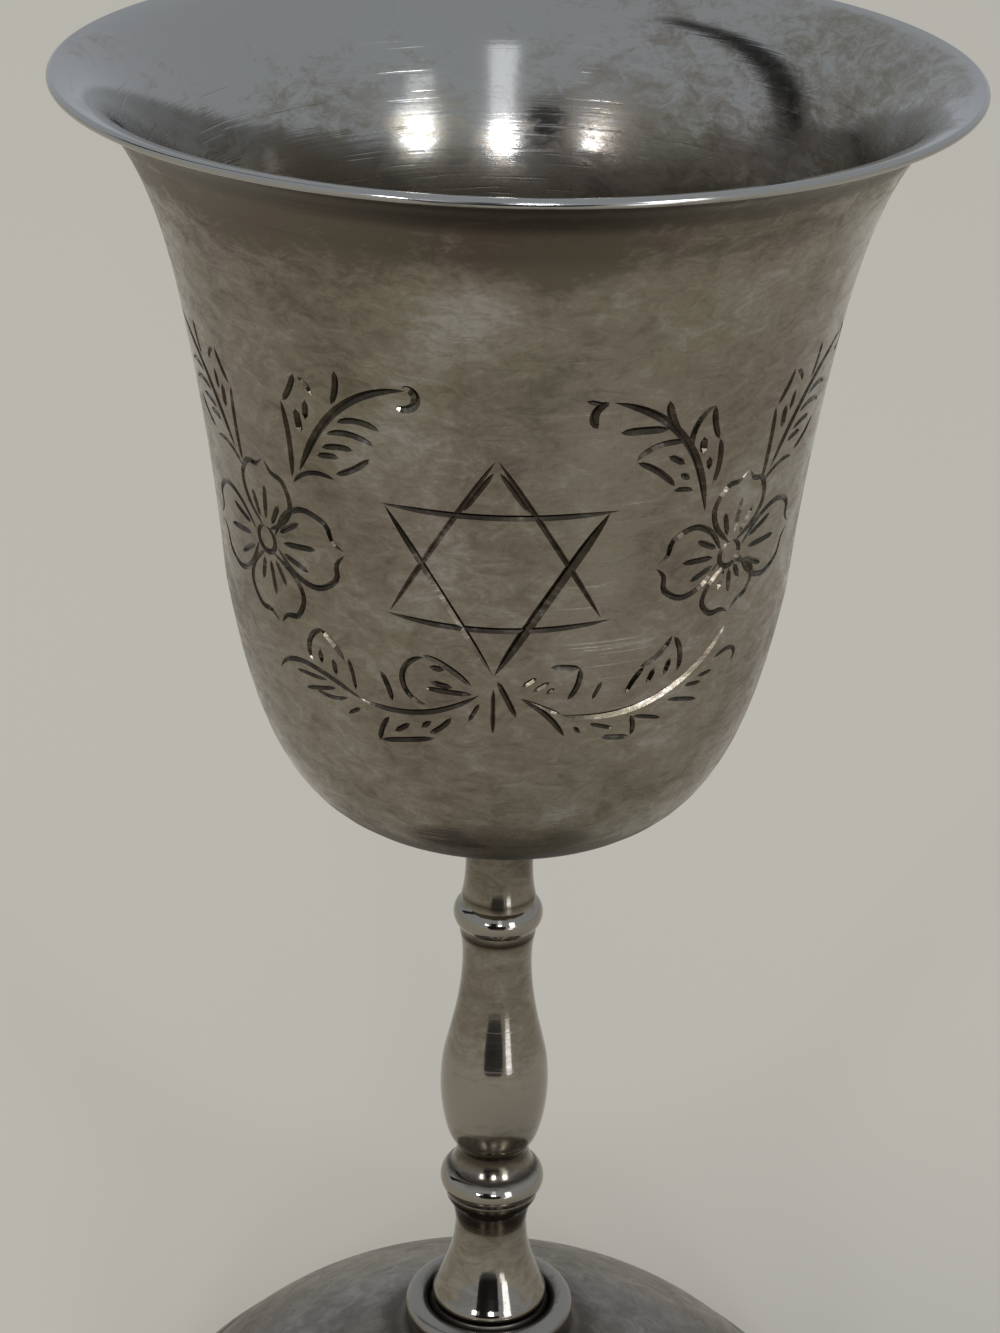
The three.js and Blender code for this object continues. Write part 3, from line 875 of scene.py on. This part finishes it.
graver, given, result = new_tree(
    "graver",
    "GeometryNodeTree",
    [
        ("Cuts", "NodeSocketGeometry"),
        ("Steepness", "NodeSocketFloat", STEEPNESS),
        ("Clearance", "NodeSocketFloat", CLEARANCE),
        ("Lift at the ends", "NodeSocketFloat", END_LIFT),
        ("Swell", "NodeSocketFloat", SWELL),
        ("Metal", "NodeSocketMaterial"),
    ],
    [("Bars", "NodeSocketGeometry")],
)
lines = add(graver, "GeometryNodeMeshToCurve", given["Cuts"])
upright = add(graver, "GeometryNodeSetCurveNormal", out(lines), mode="FREE")
upright.inputs["Normal"].default_value = (0, -1, 0)
share = out(add(graver, "GeometryNodeSplineParameter"), "Factor")
middle = calc(graver, "ABSOLUTE", calc(graver, "MULTIPLY_ADD", share, 2, -1))
swell = calc(graver, "SUBTRACT", 1, calc(graver, "POWER", middle, given["Swell"]))
width = out(add(graver, "GeometryNodeInputNamedAttribute", "width", data_type="FLOAT"))
depth = calc(graver, "MULTIPLY", calc(graver, "MULTIPLY", width, given["Steepness"]), swell)
lift = calc(graver, "MULTIPLY", given["Lift at the ends"], calc(graver, "SUBTRACT", 1, swell))
drop = calc(graver, "SUBTRACT", calc(graver, "ADD", given["Clearance"], depth), lift)
print("depth of a cut:", len(graver.nodes), "nodes")

# %% Finish the graver: sweep its section along the cuts
TRIANGLE_BACK = 0.5  # a triangle in a circle of radius 1 reaches this far behind its centre
TRIANGLE_HALF = math.sqrt(3) / 2  # and this far to each side

edge = add(graver, "GeometryNodeCurvePrimitiveCircle", 3, 1.0)
half_top = calc(graver, "DIVIDE", 0.5 / TRIANGLE_HALF, given["Steepness"])
scale = add(graver, "ShaderNodeCombineXYZ", 1 / (1 + TRIANGLE_BACK), half_top, 1.0)
section = add(graver, "GeometryNodeTransform", out(edge))
section.inputs["Translation"].default_value = (-TRIANGLE_BACK / (1 + TRIANGLE_BACK), 0, 0)
section.inputs["Rotation"].default_value = (0, 0, math.pi)
graver.links.new(out(scale), section.inputs["Scale"])
swept = add(graver, "GeometryNodeCurveToMesh", out(upright), out(section), drop, True)
real = add(graver, "GeometryNodeRealizeInstances", out(swept))
painted = add(graver, "GeometryNodeSetMaterial", out(real), None, given["Metal"])
graver.links.new(out(painted), result["Bars"])
print("the whole graver:", len(graver.nodes), "nodes")

# %% Wrap the drawing round the bowl
WALL_OUTLINE = bowl_outside(60, 30, 60)
WALL_OUTLINE = WALL_OUTLINE[np.diff(WALL_OUTLINE[:, 1], prepend=0) > 0]
WALL_NORMALS = normals_along(WALL_OUTLINE)


def on_bowl(u, z, height):
    """Places on the bowl, some height outside its surface."""
    radius = np.interp(z, WALL_OUTLINE[:, 1], WALL_OUTLINE[:, 0])
    outwards = np.interp(z, WALL_OUTLINE[:, 1], WALL_NORMALS[:, 0])
    upwards = np.interp(z, WALL_OUTLINE[:, 1], WALL_NORMALS[:, 1])
    radius = radius + height * outwards
    angle = (u + SWING) / UNROLL_R
    return np.stack([radius * np.sin(angle), -radius * np.cos(angle), z + height * upwards], 1)


corners = []
edges = []
widths = []
for path, width in cuts:
    first = len(corners)
    corners += [(u, -CLEARANCE, z) for u, z in path]
    edges += [(first + i, first + i + 1) for i in range(len(path) - 1)]
    widths += [width] * len(path)
flat_cuts = bpy.data.meshes.new("cuts")
flat_cuts.from_pydata(corners, edges, [])
store(flat_cuts, "width", widths)
bars = run_tree(link("graver_bars", flat_cuts), graver, {"Metal": cut_metal})
flat = positions(bars.data)
wrapped = on_bowl(flat[:, 0], flat[:, 2], -flat[:, 1]) * MM
bars.data.vertices.foreach_set("co", wrapped.astype(np.float32).ravel())
bars.data.update()
print("bars:", len(bars.data.polygons), "faces")

# %% [markdown]
# ## Cutting the grooves
# A boolean takes the bars away from the bowl. Where two cuts cross, their bars overlap, and a solver that
# takes the bars for one solid would leave thin walls inside the crossing. So the tree first splits the bars
# into one instance for each cut, and the boolean takes them away one after another. The sides of the
# grooves come from the bars, so their dark metal is what tells them from the rest of the bowl.

# %% Engrave
engraver, given, result = new_tree(
    "engraving",
    "GeometryNodeTree",
    [
        ("Bowl", "NodeSocketGeometry"),
        ("Graver bars", "NodeSocketObject"),
        ("Metal", "NodeSocketMaterial"),
    ],
    [("Engraved bowl", "NodeSocketGeometry")],
)
brought = add(engraver, "GeometryNodeObjectInfo", given["Graver bars"])
island = out(add(engraver, "GeometryNodeInputMeshIsland"), "Island Index")
single = add(engraver, "GeometryNodeSplitToInstances", out(brought, "Geometry"), None, island, domain="FACE")
cutting = add(engraver, "GeometryNodeMeshBoolean", operation="DIFFERENCE", solver="MANIFOLD")
engraver.links.new(given["Bowl"], cutting.inputs["Mesh 1"])
engraver.links.new(out(single), cutting.inputs["Mesh 2"])
real = add(engraver, "GeometryNodeRealizeInstances", out(cutting))
in_groove = add(engraver, "GeometryNodeMaterialSelection", given["Metal"])
painted = add(engraver, "GeometryNodeSetMaterial", out(real), out(in_groove), given["Metal"])
engraver.links.new(out(painted), result["Engraved bowl"])
run_tree(bowl, engraver, {"Graver bars": bars, "Metal": cut_metal})
bpy.data.objects.remove(bars)
print("engraved bowl:", len(bowl.data.polygons), "faces", [m.name for m in bowl.data.materials if m])

# %% [markdown]
# ## Smooth light over a cut surface
# The boolean leaves long thin triangles round each groove, and ordinary smooth shading would show them as
# smears in the polish. A Weighted Normal modifier would only guess at the true direction of the surface,
# but here it is known, because it follows from the outline. So every corner of a face that isn't in a
# groove gets that direction as its normal, and the grooves keep the flat sides that a graver leaves.

# %% Give the bowl its true normals
OUTLINE = bowl_outline()
OUTLINE_NORMALS = normals_along(OUTLINE)
BATCH = 4096  # points that are compared with the outline at once
ON_AXIS = 1e-9  # a smaller radius has no direction


def nearest_on_outline(flat):
    """For (radius, height) points, the direction of the outline at the nearest place on it."""
    start, step = OUTLINE[:-1], np.diff(OUTLINE, axis=0)
    length = (step**2).sum(1)
    found = np.empty_like(flat)
    for first in range(0, len(flat), BATCH):
        part = flat[first : first + BATCH]
        share = ((part[:, None] - start) * step).sum(2) / length
        share = np.clip(share, 0, 1)
        gap = np.linalg.norm(start + share[:, :, None] * step - part[:, None], axis=2)
        best = gap.argmin(1)
        t = share[np.arange(len(part)), best][:, None]
        found[first : first + BATCH] = (1 - t) * OUTLINE_NORMALS[best] + t * OUTLINE_NORMALS[best + 1]
    return found / np.linalg.norm(found, axis=1)[:, None]


def true_normals(mesh, cut_slot):
    """Sets the outline's own directions as normals, except in faces of the cut metal."""
    points = positions(mesh)
    towards = nearest_on_outline(radius_and_height(mesh))
    spoke = points[:, :2] / np.maximum(np.hypot(points[:, 0], points[:, 1]), ON_AXIS)[:, None]
    normals = np.concatenate([spoke * towards[:, :1], towards[:, 1:]], 1)
    corner_vertex = np.empty(len(mesh.loops), np.int32)
    mesh.loops.foreach_get("vertex_index", corner_vertex)
    corner_normals = normals[corner_vertex]
    for face in mesh.polygons:
        if face.material_index == cut_slot:
            corner_normals[face.loop_start : face.loop_start + face.loop_total] = face.normal
    mesh.normals_split_custom_set(corner_normals)


true_normals(bowl.data, list(bowl.data.materials).index(cut_metal))
print("normals set on", len(bowl.data.loops), "corners")

# %% [markdown]
# ## Where the bowl is dark and where it is bright
# The bowl is brown in a ring at its joint with the stem. A ring on its underside and a band under the lip,
# darkest at the front, are painted shade. Rings alone would look too even, so it also has a few broad clouds
# where it was held. Inside, a cloth brightens the flare most, and a band lower down is darkened as a painted
# dark reflection. All this could be painted by hand. A list of soft spots, and a few heights with a value
# for each, are easier to read and to change, and the values between two heights run evenly from one to the
# other.

# %% Rings and spots on the bowl
BOWL_CORNERS_AND_SHADE = [
    [NECK_R, BOWL_Z, 2.6, 1.0],  # round the joint with the stem
    # painted shade on the bowl's underside, out from the joint
    [16.5, BOWL_Z + 2.3, 2.6, 1.0],
]
# Painted shade under the lip, darkest at the front.
SHADE_UNDER_LIP = [
    [38.4, 146.1, 2.2, 0.85],
    [35.5, 144.9, 2.6, 0.8],
    [33.4, 141.5, 3.0, 0.5],
]
BOWL_RUBBED = [
    [RIM_R, HEIGHT - WALL / 2, 1.2, 1.0],  # the lip
    [RIM_R - WALL, HEIGHT, 1.2, 0.8],
]
STAINS = [  # round the bowl, height, reach, and how much darker or, below zero, lighter
    [1.5, 127.5, 5, 0.13],
    [-4, 136.5, 4.5, -0.08],
    [-14, 131.5, 5.5, 0.12],
    [-29, 137, 8, 0.09],
    [8, 123.5, 6, -0.06],
    [16, 137, 8, -0.05],
    [-10, 121, 5, -0.05],
    [3, 139.5, 3, 0.12],
    [0, 92, 8, 0.05],
    [70, 125, 12, 0.1],
    [-60, 112, 12, 0.08],
]
print(len(STAINS), "spots and", len(BOWL_CORNERS_AND_SHADE + SHADE_UNDER_LIP + BOWL_RUBBED), "rings")

# %% Tell the inside from the outside
SKIN = 0.3  # the outer part of the sheet's thickness that counts as outside
points = positions(bowl.data) / MM
flat = radius_and_height(bowl.data)
radius, height = flat.T
outside_radius = np.interp(height, WALL_OUTLINE[:, 1], WALL_OUTLINE[:, 0])
depth_in = (outside_radius - radius) / WALL  # 0 outside, about 1 inside
is_inside = np.clip(depth_in - SKIN, 0, 1)
print(f"{np.mean(is_inside > 0):.0%} of the bowl's points are inside")

# %% Store what is rubbed, and a painted dark reflection inside
INSIDE_HEIGHTS = [95, 116, 127, 140]
INSIDE_RUBBED_AND_REFLECTION = [0.525, 0.42, 0.07, 0.7]  # least at 127 mm, where a painted dark reflection lies
rubbed_and_reflection_inside = is_inside * np.interp(height, INSIDE_HEIGHTS, INSIDE_RUBBED_AND_REFLECTION)
store(bowl.data, "rubbed", np.maximum(nearness(flat, BOWL_RUBBED), rubbed_and_reflection_inside))

# %% Store what a cloth can't reach, and painted shade under the bowl and the lip
BACK_SHARE = 0.4  # under the lip, the back has this much of the front's painted shade
frontness = np.clip(-points[:, 1] / np.maximum(radius, 1), 0, 1)
shade_under_lip = nearness(flat, SHADE_UNDER_LIP) * (BACK_SHARE + (1 - BACK_SHARE) * frontness**2)
shade_under_lip *= (height < LIP[1]) & (depth_in < 1 - SKIN)
# The bowl's corners attribute also holds painted shade: the ring on its underside and the band under the
# lip.
store(bowl.data, "corners", np.maximum(nearness(flat, BOWL_CORNERS_AND_SHADE), shade_under_lip))

# %% Store the stains, and a painted dark reflection inside
# A band inside the bowl is darkened as a painted dark reflection.
REFLECTION_BAND_HEIGHTS = [106, 122, 132]
PAINTED_DARK_REFLECTION = [0, 0.22, 0]
RIGHT_DARKENING = 0.2  # inside, the right is browner, and this much at the most
RIGHT_REACH = 30
around = np.arctan2(points[:, 0], -points[:, 1]) * UNROLL_R
stained = np.zeros(len(points))
for u, z, reach, strength in STAINS:
    distance = np.hypot(around - u, height - z)
    stained += strength * np.exp(-((distance / reach) ** 2))
darkened_inside = np.interp(height, REFLECTION_BAND_HEIGHTS, PAINTED_DARK_REFLECTION)
darkened_inside += RIGHT_DARKENING * np.clip(points[:, 0] / RIGHT_REACH, 0, 1)
stains = stained * (1 - is_inside) + darkened_inside * is_inside
store(bowl.data, "stains", stains)
print(f"stains from {stains.min():.2f} to {stains.max():.2f}")

# %% [markdown]
# ## The stem
# The stem is turned from a solid rod: a bell that stands on the foot, a cove, a bead, a long baluster like
# a small vase, another bead, and a neck that runs straight into the bowl. Spheres, cones and cylinders
# could be stacked for it, but a turner cuts them in one pass, and one outline has no seams between them.
# Each place where two of these forms meet is a corner for tarnish, and each bead is rubbed bright at its
# widest.

# %% Turn the stem
SEAT_R = 5.8  # the foot of its bell
TOP_NECK = [3.24, 71.2]  # narrowest places of the stem, from the top down
LONG_NECK = [3.37, 60]
SHORT_NECK = [3.55, 38.5]
COVE = [3.54, 29.3]
UPPER_BEAD = [2.55, 65.1]
UPPER_BEAD_R = 1.77
LOWER_BEAD = [3.45, 34.85]
LOWER_BEAD_R = 1.72
BELL_LIP = [SEAT_R - 0.3, SEAT_Z + 1.5]
BALUSTER = [4.83, 50.4]  # where its belly turns into its long neck

stem_outline = np.concatenate(
    [
        [[0, SEAT_Z], [SEAT_R - 0.35, SEAT_Z]],
        curve([SEAT_R - 0.35, SEAT_Z], [SEAT_R + 0.1, SEAT_Z], [SEAT_R + 0.15, 21.1], BELL_LIP, 8),
        curve(BELL_LIP, [4.8, 23.6], [3.7, 26.2], [3.6, 28.9], 16),
        [COVE],
        curve(COVE, [3.6, 30.6], [3.85, 31.8], [4.25, 32.35], 8),
        [[4.5, 32.75]],
        arc(LOWER_BEAD, LOWER_BEAD_R, -50, 62, 16),
        curve([4.26, 36.37], [3.8, 37.1], [SHORT_NECK[0], 37.9], SHORT_NECK, 6),
        curve(SHORT_NECK, [3.62, 39.1], [4.15, 39.5], [4.5, 40.5], 8),
        curve([4.5, 40.5], [5.4, 43.2], [5.65, 47.2], BALUSTER, 20),
        curve(BALUSTER, [4.27, 52.9], [3.42, 55.9], LONG_NECK, 16),
        curve(LONG_NECK, [LONG_NECK[0], 61.4], [3.5, 62.4], [3.66, 63], 6),
        arc(UPPER_BEAD, UPPER_BEAD_R, -48, 52, 14),
        [[3.56, 67.2]],
        curve([3.56, 67.2], [3.3, 68.4], [3.2, 70], TOP_NECK, 8),
        curve(TOP_NECK, [3.3, 73.5], [NECK_R, 75.5], [NECK_R, BOWL_Z], 8),
        [[0, BOWL_Z]],
    ]
)
STEM_SIDES = 96
stem = turned("baluster_stem", stem_outline, STEM_SIDES, stem_metal)

# %% Tarnish the stem
STEM_CORNERS = [
    [NECK_R, BOWL_Z, 1.2, 0.9],
    [TOP_NECK[0], 72.5, 4.5, 0.35],
    [3.66, 63.2, 0.5, 0.9],  # under the upper bead
    [3.56, 67.0, 0.4, 0.7],
    [3.5, 38.6, 1.2, 0.6],  # the short neck under the baluster
    [4.3, 36.5, 0.5, 0.7],
    [4.4, 32.9, 0.5, 1.0],  # under the lower bead
    [3.6, 31.0, 1.2, 0.6],
    [SEAT_R, SEAT_Z, 0.5, 0.8],
]
STEM_RUBBED = [
    [UPPER_BEAD[0] + UPPER_BEAD_R, UPPER_BEAD[1], 1.2, 1.0],
    [LOWER_BEAD[0] + LOWER_BEAD_R, LOWER_BEAD[1], 1.2, 1.0],
    [5.1, 46, 3.5, 0.5],
]
ring_attributes(stem.data, corners=STEM_CORNERS, rubbed=STEM_RUBBED)
print(len(STEM_CORNERS), "dark rings and", len(STEM_RUBBED), "bright ones")

# %% [markdown]
# ## The foot
# The foot is spun from sheet too: a shallow dome, hollow underneath, with a rolled collar round the stem
# and a flat ring at its edge to stand on. A Solidify modifier could give one curve its thickness, but the
# edge and the collar would need more work after it. Moving the dome's curve inwards, as for the bowl,
# leaves both to be drawn.

# %% Spin the foot
COLLAR = [7.35, SEAT_Z - 0.95]  # centre of the round collar
COLLAR_TUBE = 1.15
DOME_TOP = [9.7, 16.4]
DOME_EDGE = [33.2, 2.3]
FOOT_EDGE = 0.8  # height of the outer edge
FOOT_WALL = 1.1
REST_R = 32.9  # inner edge of the ring that it stands on
CROWN = SEAT_Z - 2  # the ceiling of the hollow
ROUNDED = 0.3  # radius of the lower outer edge

dome = curve(DOME_TOP, [17, 14.2], [28.3, 9.2], DOME_EDGE, 28)
hollow = inset(dome[::-1], FOOT_WALL)[::-1]
foot_outline = np.concatenate(
    [
        [[0, CROWN], [SEAT_R - 0.2, CROWN]],
        hollow[3:-1],
        [[REST_R - 0.2, FOOT_EDGE], [REST_R, 0], [FOOT_R - ROUNDED, 0]],
        arc([FOOT_R - ROUNDED, ROUNDED], ROUNDED, -90, 0, 4)[1:],
        [[FOOT_R, FOOT_EDGE]],
        curve([FOOT_R, FOOT_EDGE], [34.6, 1.2], [33.8, 1.4], DOME_EDGE, 8),
        dome[:-1][::-1],
        [DOME_TOP],
        curve(DOME_TOP, [8.9, 16.7], [8.3, 17.4], [8.25, 18.5], 6),
        arc(COLLAR, COLLAR_TUBE, -35, 185, 22),
        [[SEAT_R, SEAT_Z], [0, SEAT_Z]],
    ]
)
FOOT_SIDES = 160
foot = turned("domed_foot", foot_outline, FOOT_SIDES, foot_metal)

# %% Tarnish the foot
FOOT_CORNERS = [
    [SEAT_R + 0.3, SEAT_Z - 0.4, 0.5, 0.8],  # between the stem and the collar
    [8.3, 17.6, 0.9, 0.9],  # under the collar
    [DOME_TOP[0], DOME_TOP[1], 1.6, 0.5],
    [33.4, 2.0, 0.8, 0.7],
]
FOOT_RUBBED = [
    [COLLAR[0] + 0.6, COLLAR[1] + 1.0, 0.8, 1.0],
    [FOOT_R, FOOT_EDGE, 0.5, 1.0],
]
ring_attributes(foot.data, corners=FOOT_CORNERS, rubbed=FOOT_RUBBED)
print(len(FOOT_CORNERS), "dark rings and", len(FOOT_RUBBED), "bright ones")

# %% [markdown]
# ## Who stands for what
# Each finished piece takes the place of its CAD solid and rides on the cup's one body.

# %% Join the pieces to the frame
for piece, node in ((bowl, "bowl"), (stem, "stem"), (foot, "foot")):
    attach(piece, "root")
    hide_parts(node)
    print(piece.name, "stands for", node)

# %% [markdown]
# ## Floor and light
# Polished metal has no look of its own: it shows the room. An image of a room could light it, but a few
# plain lights are easier to understand and to change. The floor is pale and matt, the room even and dim,
# and one broad light overhead lights the floor without showing in the metal. Three small windows make the
# bright spots, and two faint curtains above them a column of light. Places and sizes in the room are in
# metres.

# %% Lay the floor
FLOOR_SIZE = 6.0
floor_mesh = bpy.data.meshes.new("floor")
floor_mesh.from_pydata(
    [(x * FLOOR_SIZE / 2, y * FLOOR_SIZE / 2, 0) for x, y in ((-1, -1), (1, -1), (1, 1), (-1, 1))],
    [],
    [(0, 1, 2, 3)],
)


def paint(mesh, name, shade, roughness):
    """Gives a mesh a plain coat, and hands back its shader's inputs."""
    coat = bpy.data.materials.new(name)
    coat.use_nodes = True
    sockets = coat.node_tree.nodes["Principled BSDF"].inputs
    sockets["Base Color"].default_value = shade
    sockets["Roughness"].default_value = roughness
    mesh.materials.append(coat)
    return sockets


floor = link("floor", floor_mesh)
floor_paint = paint(floor_mesh, "pale floor", srgb(206, 200, 188), 0.8)
floor_paint["Specular IOR Level"].default_value = 0.0
print("floor of", FLOOR_SIZE, "m")

# %% Light the room
AIM = Vector((0, 0, 90 * MM))  # the windows face the bowl
DAYLIGHT = srgb(240, 246, 255)
LAMPLIGHT = srgb(255, 248, 236)

world = bpy.data.worlds.new("dim room")
bpy.context.scene.world = world
world.use_nodes = True
world.node_tree.nodes["Background"].inputs["Color"].default_value = srgb(184, 191, 199)
world.node_tree.nodes["Background"].inputs["Strength"].default_value = 0.97


def window(name, place, size, watts, colour=DAYLIGHT):
    """A rectangular light that faces the cup."""
    light = bpy.data.lights.new(name, "AREA")
    light.shape = "RECTANGLE"
    light.size, light.size_y = size
    light.energy = watts
    light.color = colour[:3]
    lamp = link(name, light)
    lamp.location = place
    lamp.rotation_euler = (AIM - Vector(place)).to_track_quat("-Z", "Y").to_euler()
    lamp.visible_camera = False
    return lamp


overhead = window("overhead", (-0.4, 0.35, 2.0), (1.6, 1.2), 12.5, LAMPLIGHT)
overhead.visible_glossy = False  # it lights the floor, and the metal doesn't mirror it
window("left window", (-0.94, -1.76, 0.52), (0.22, 0.25), 5)
window("middle window", (0.17, -2.0, 0.57), (0.26, 0.27), 6)
window("right window", (1.15, -1.64, 0.53), (0.28, 0.25), 6)
window("middle curtain", (0.17, -1.85, 1.2), (0.3, 0.9), 0.8)
window("right curtain", (1.1, -1.6, 0.95), (0.3, 0.5), 0.35)
strip = window("strip", (0.35, -0.48, 0.17), (0.14, 0.34), 0.45)
strip.visible_diffuse = False  # the metal mirrors it, and it leaves no patch on the floor
print(len(bpy.data.lights), "lights")

# %% [markdown]
# ## Cards for the metal to mirror
# In an even room the stem and the flare would be one flat grey. A jeweller who shows silver stands dark and
# white cards round it, so that each form gets a dark core and a bright line beside it, and these cards do
# the same. They are seen in reflections alone, and neither light nor shade the floor.

# %% Stand the cards round the cup
BLACK = srgb(38, 36, 35)
PAPER_ROUGHNESS = 0.9
GLOW = 2.0


def card(name, corners, shade=BLACK, glow=0.0):
    """A flat card that only reflections see, dark or glowing."""
    mesh = bpy.data.meshes.new(name)
    mesh.from_pydata(corners, [], [(0, 1, 2, 3)])
    paper = paint(mesh, name, shade, PAPER_ROUGHNESS)
    paper["Emission Color"].default_value = DAYLIGHT
    paper["Emission Strength"].default_value = glow
    sheet = link(name, mesh)
    sheet.visible_camera = False
    sheet.visible_diffuse = False
    sheet.visible_shadow = False


DARK_CARDS = {
    "black cloth": [(-0.08, -0.24, 0.001), (0.06, -0.24, 0.001), (0.2, -0.56, 0.001), (-0.26, -0.56, 0.001)],
    "low black card": [(-0.26, -0.56, 0), (0.2, -0.56, 0), (0.2, -0.56, 0.14), (-0.26, -0.56, 0.14)],
    "tall black card": [(-0.37, -1.14, 0.2), (-0.06, -1.2, 0.2), (-0.06, -1.2, 0.64), (-0.37, -1.14, 0.64)],
    "side card": [(-1.0, 0.42, 0.3), (-1.0, 0.16, 0.3), (-1.0, -0.62, 1.9), (-1.0, -0.4, 1.9)],
}
BRIGHT_STRIP = [(0.11, -0.22, 0.002), (0.15, -0.2, 0.002), (0.34, -0.44, 0.002), (0.23, -0.5, 0.002)]

for name, corners in DARK_CARDS.items():
    card(name, corners)
card("bright strip", BRIGHT_STRIP, DAYLIGHT, GLOW)
print(len(DARK_CARDS), "dark cards and a bright strip")

# %% [markdown]
# ## The camera
# The camera looks down on the cup from close by, as someone seated at the table sees it, and leans a little
# to one side. Close up, the mouth looks much wider than the foot. A long lens from far away would lose
# that.

# %% Place the camera
CAMERA_PLACE = (-0.38 * MM, -265.65 * MM, 214.9 * MM)
LOOKS_DOWN = math.radians(25.0)
LEANS = math.radians(1.34)
FOCAL = 85.19  # for a frame 36 mm high
NEAREST = 0.01  # metres; nothing closer is drawn

camera = bpy.data.cameras.new("camera")
camera.lens = FOCAL
camera.clip_start = NEAREST
eye = link("camera", camera)
eye.location = CAMERA_PLACE
eye.rotation_euler = (
    Matrix.Rotation(math.pi / 2 - LOOKS_DOWN, 3, "X") @ Matrix.Rotation(LEANS, 3, "Z")
).to_euler()
bpy.context.scene.camera = eye
bpy.context.scene.view_settings.view_transform = "Standard"
print(f"camera {eye.location.length / MM:.0f} mm from the cup's foot")
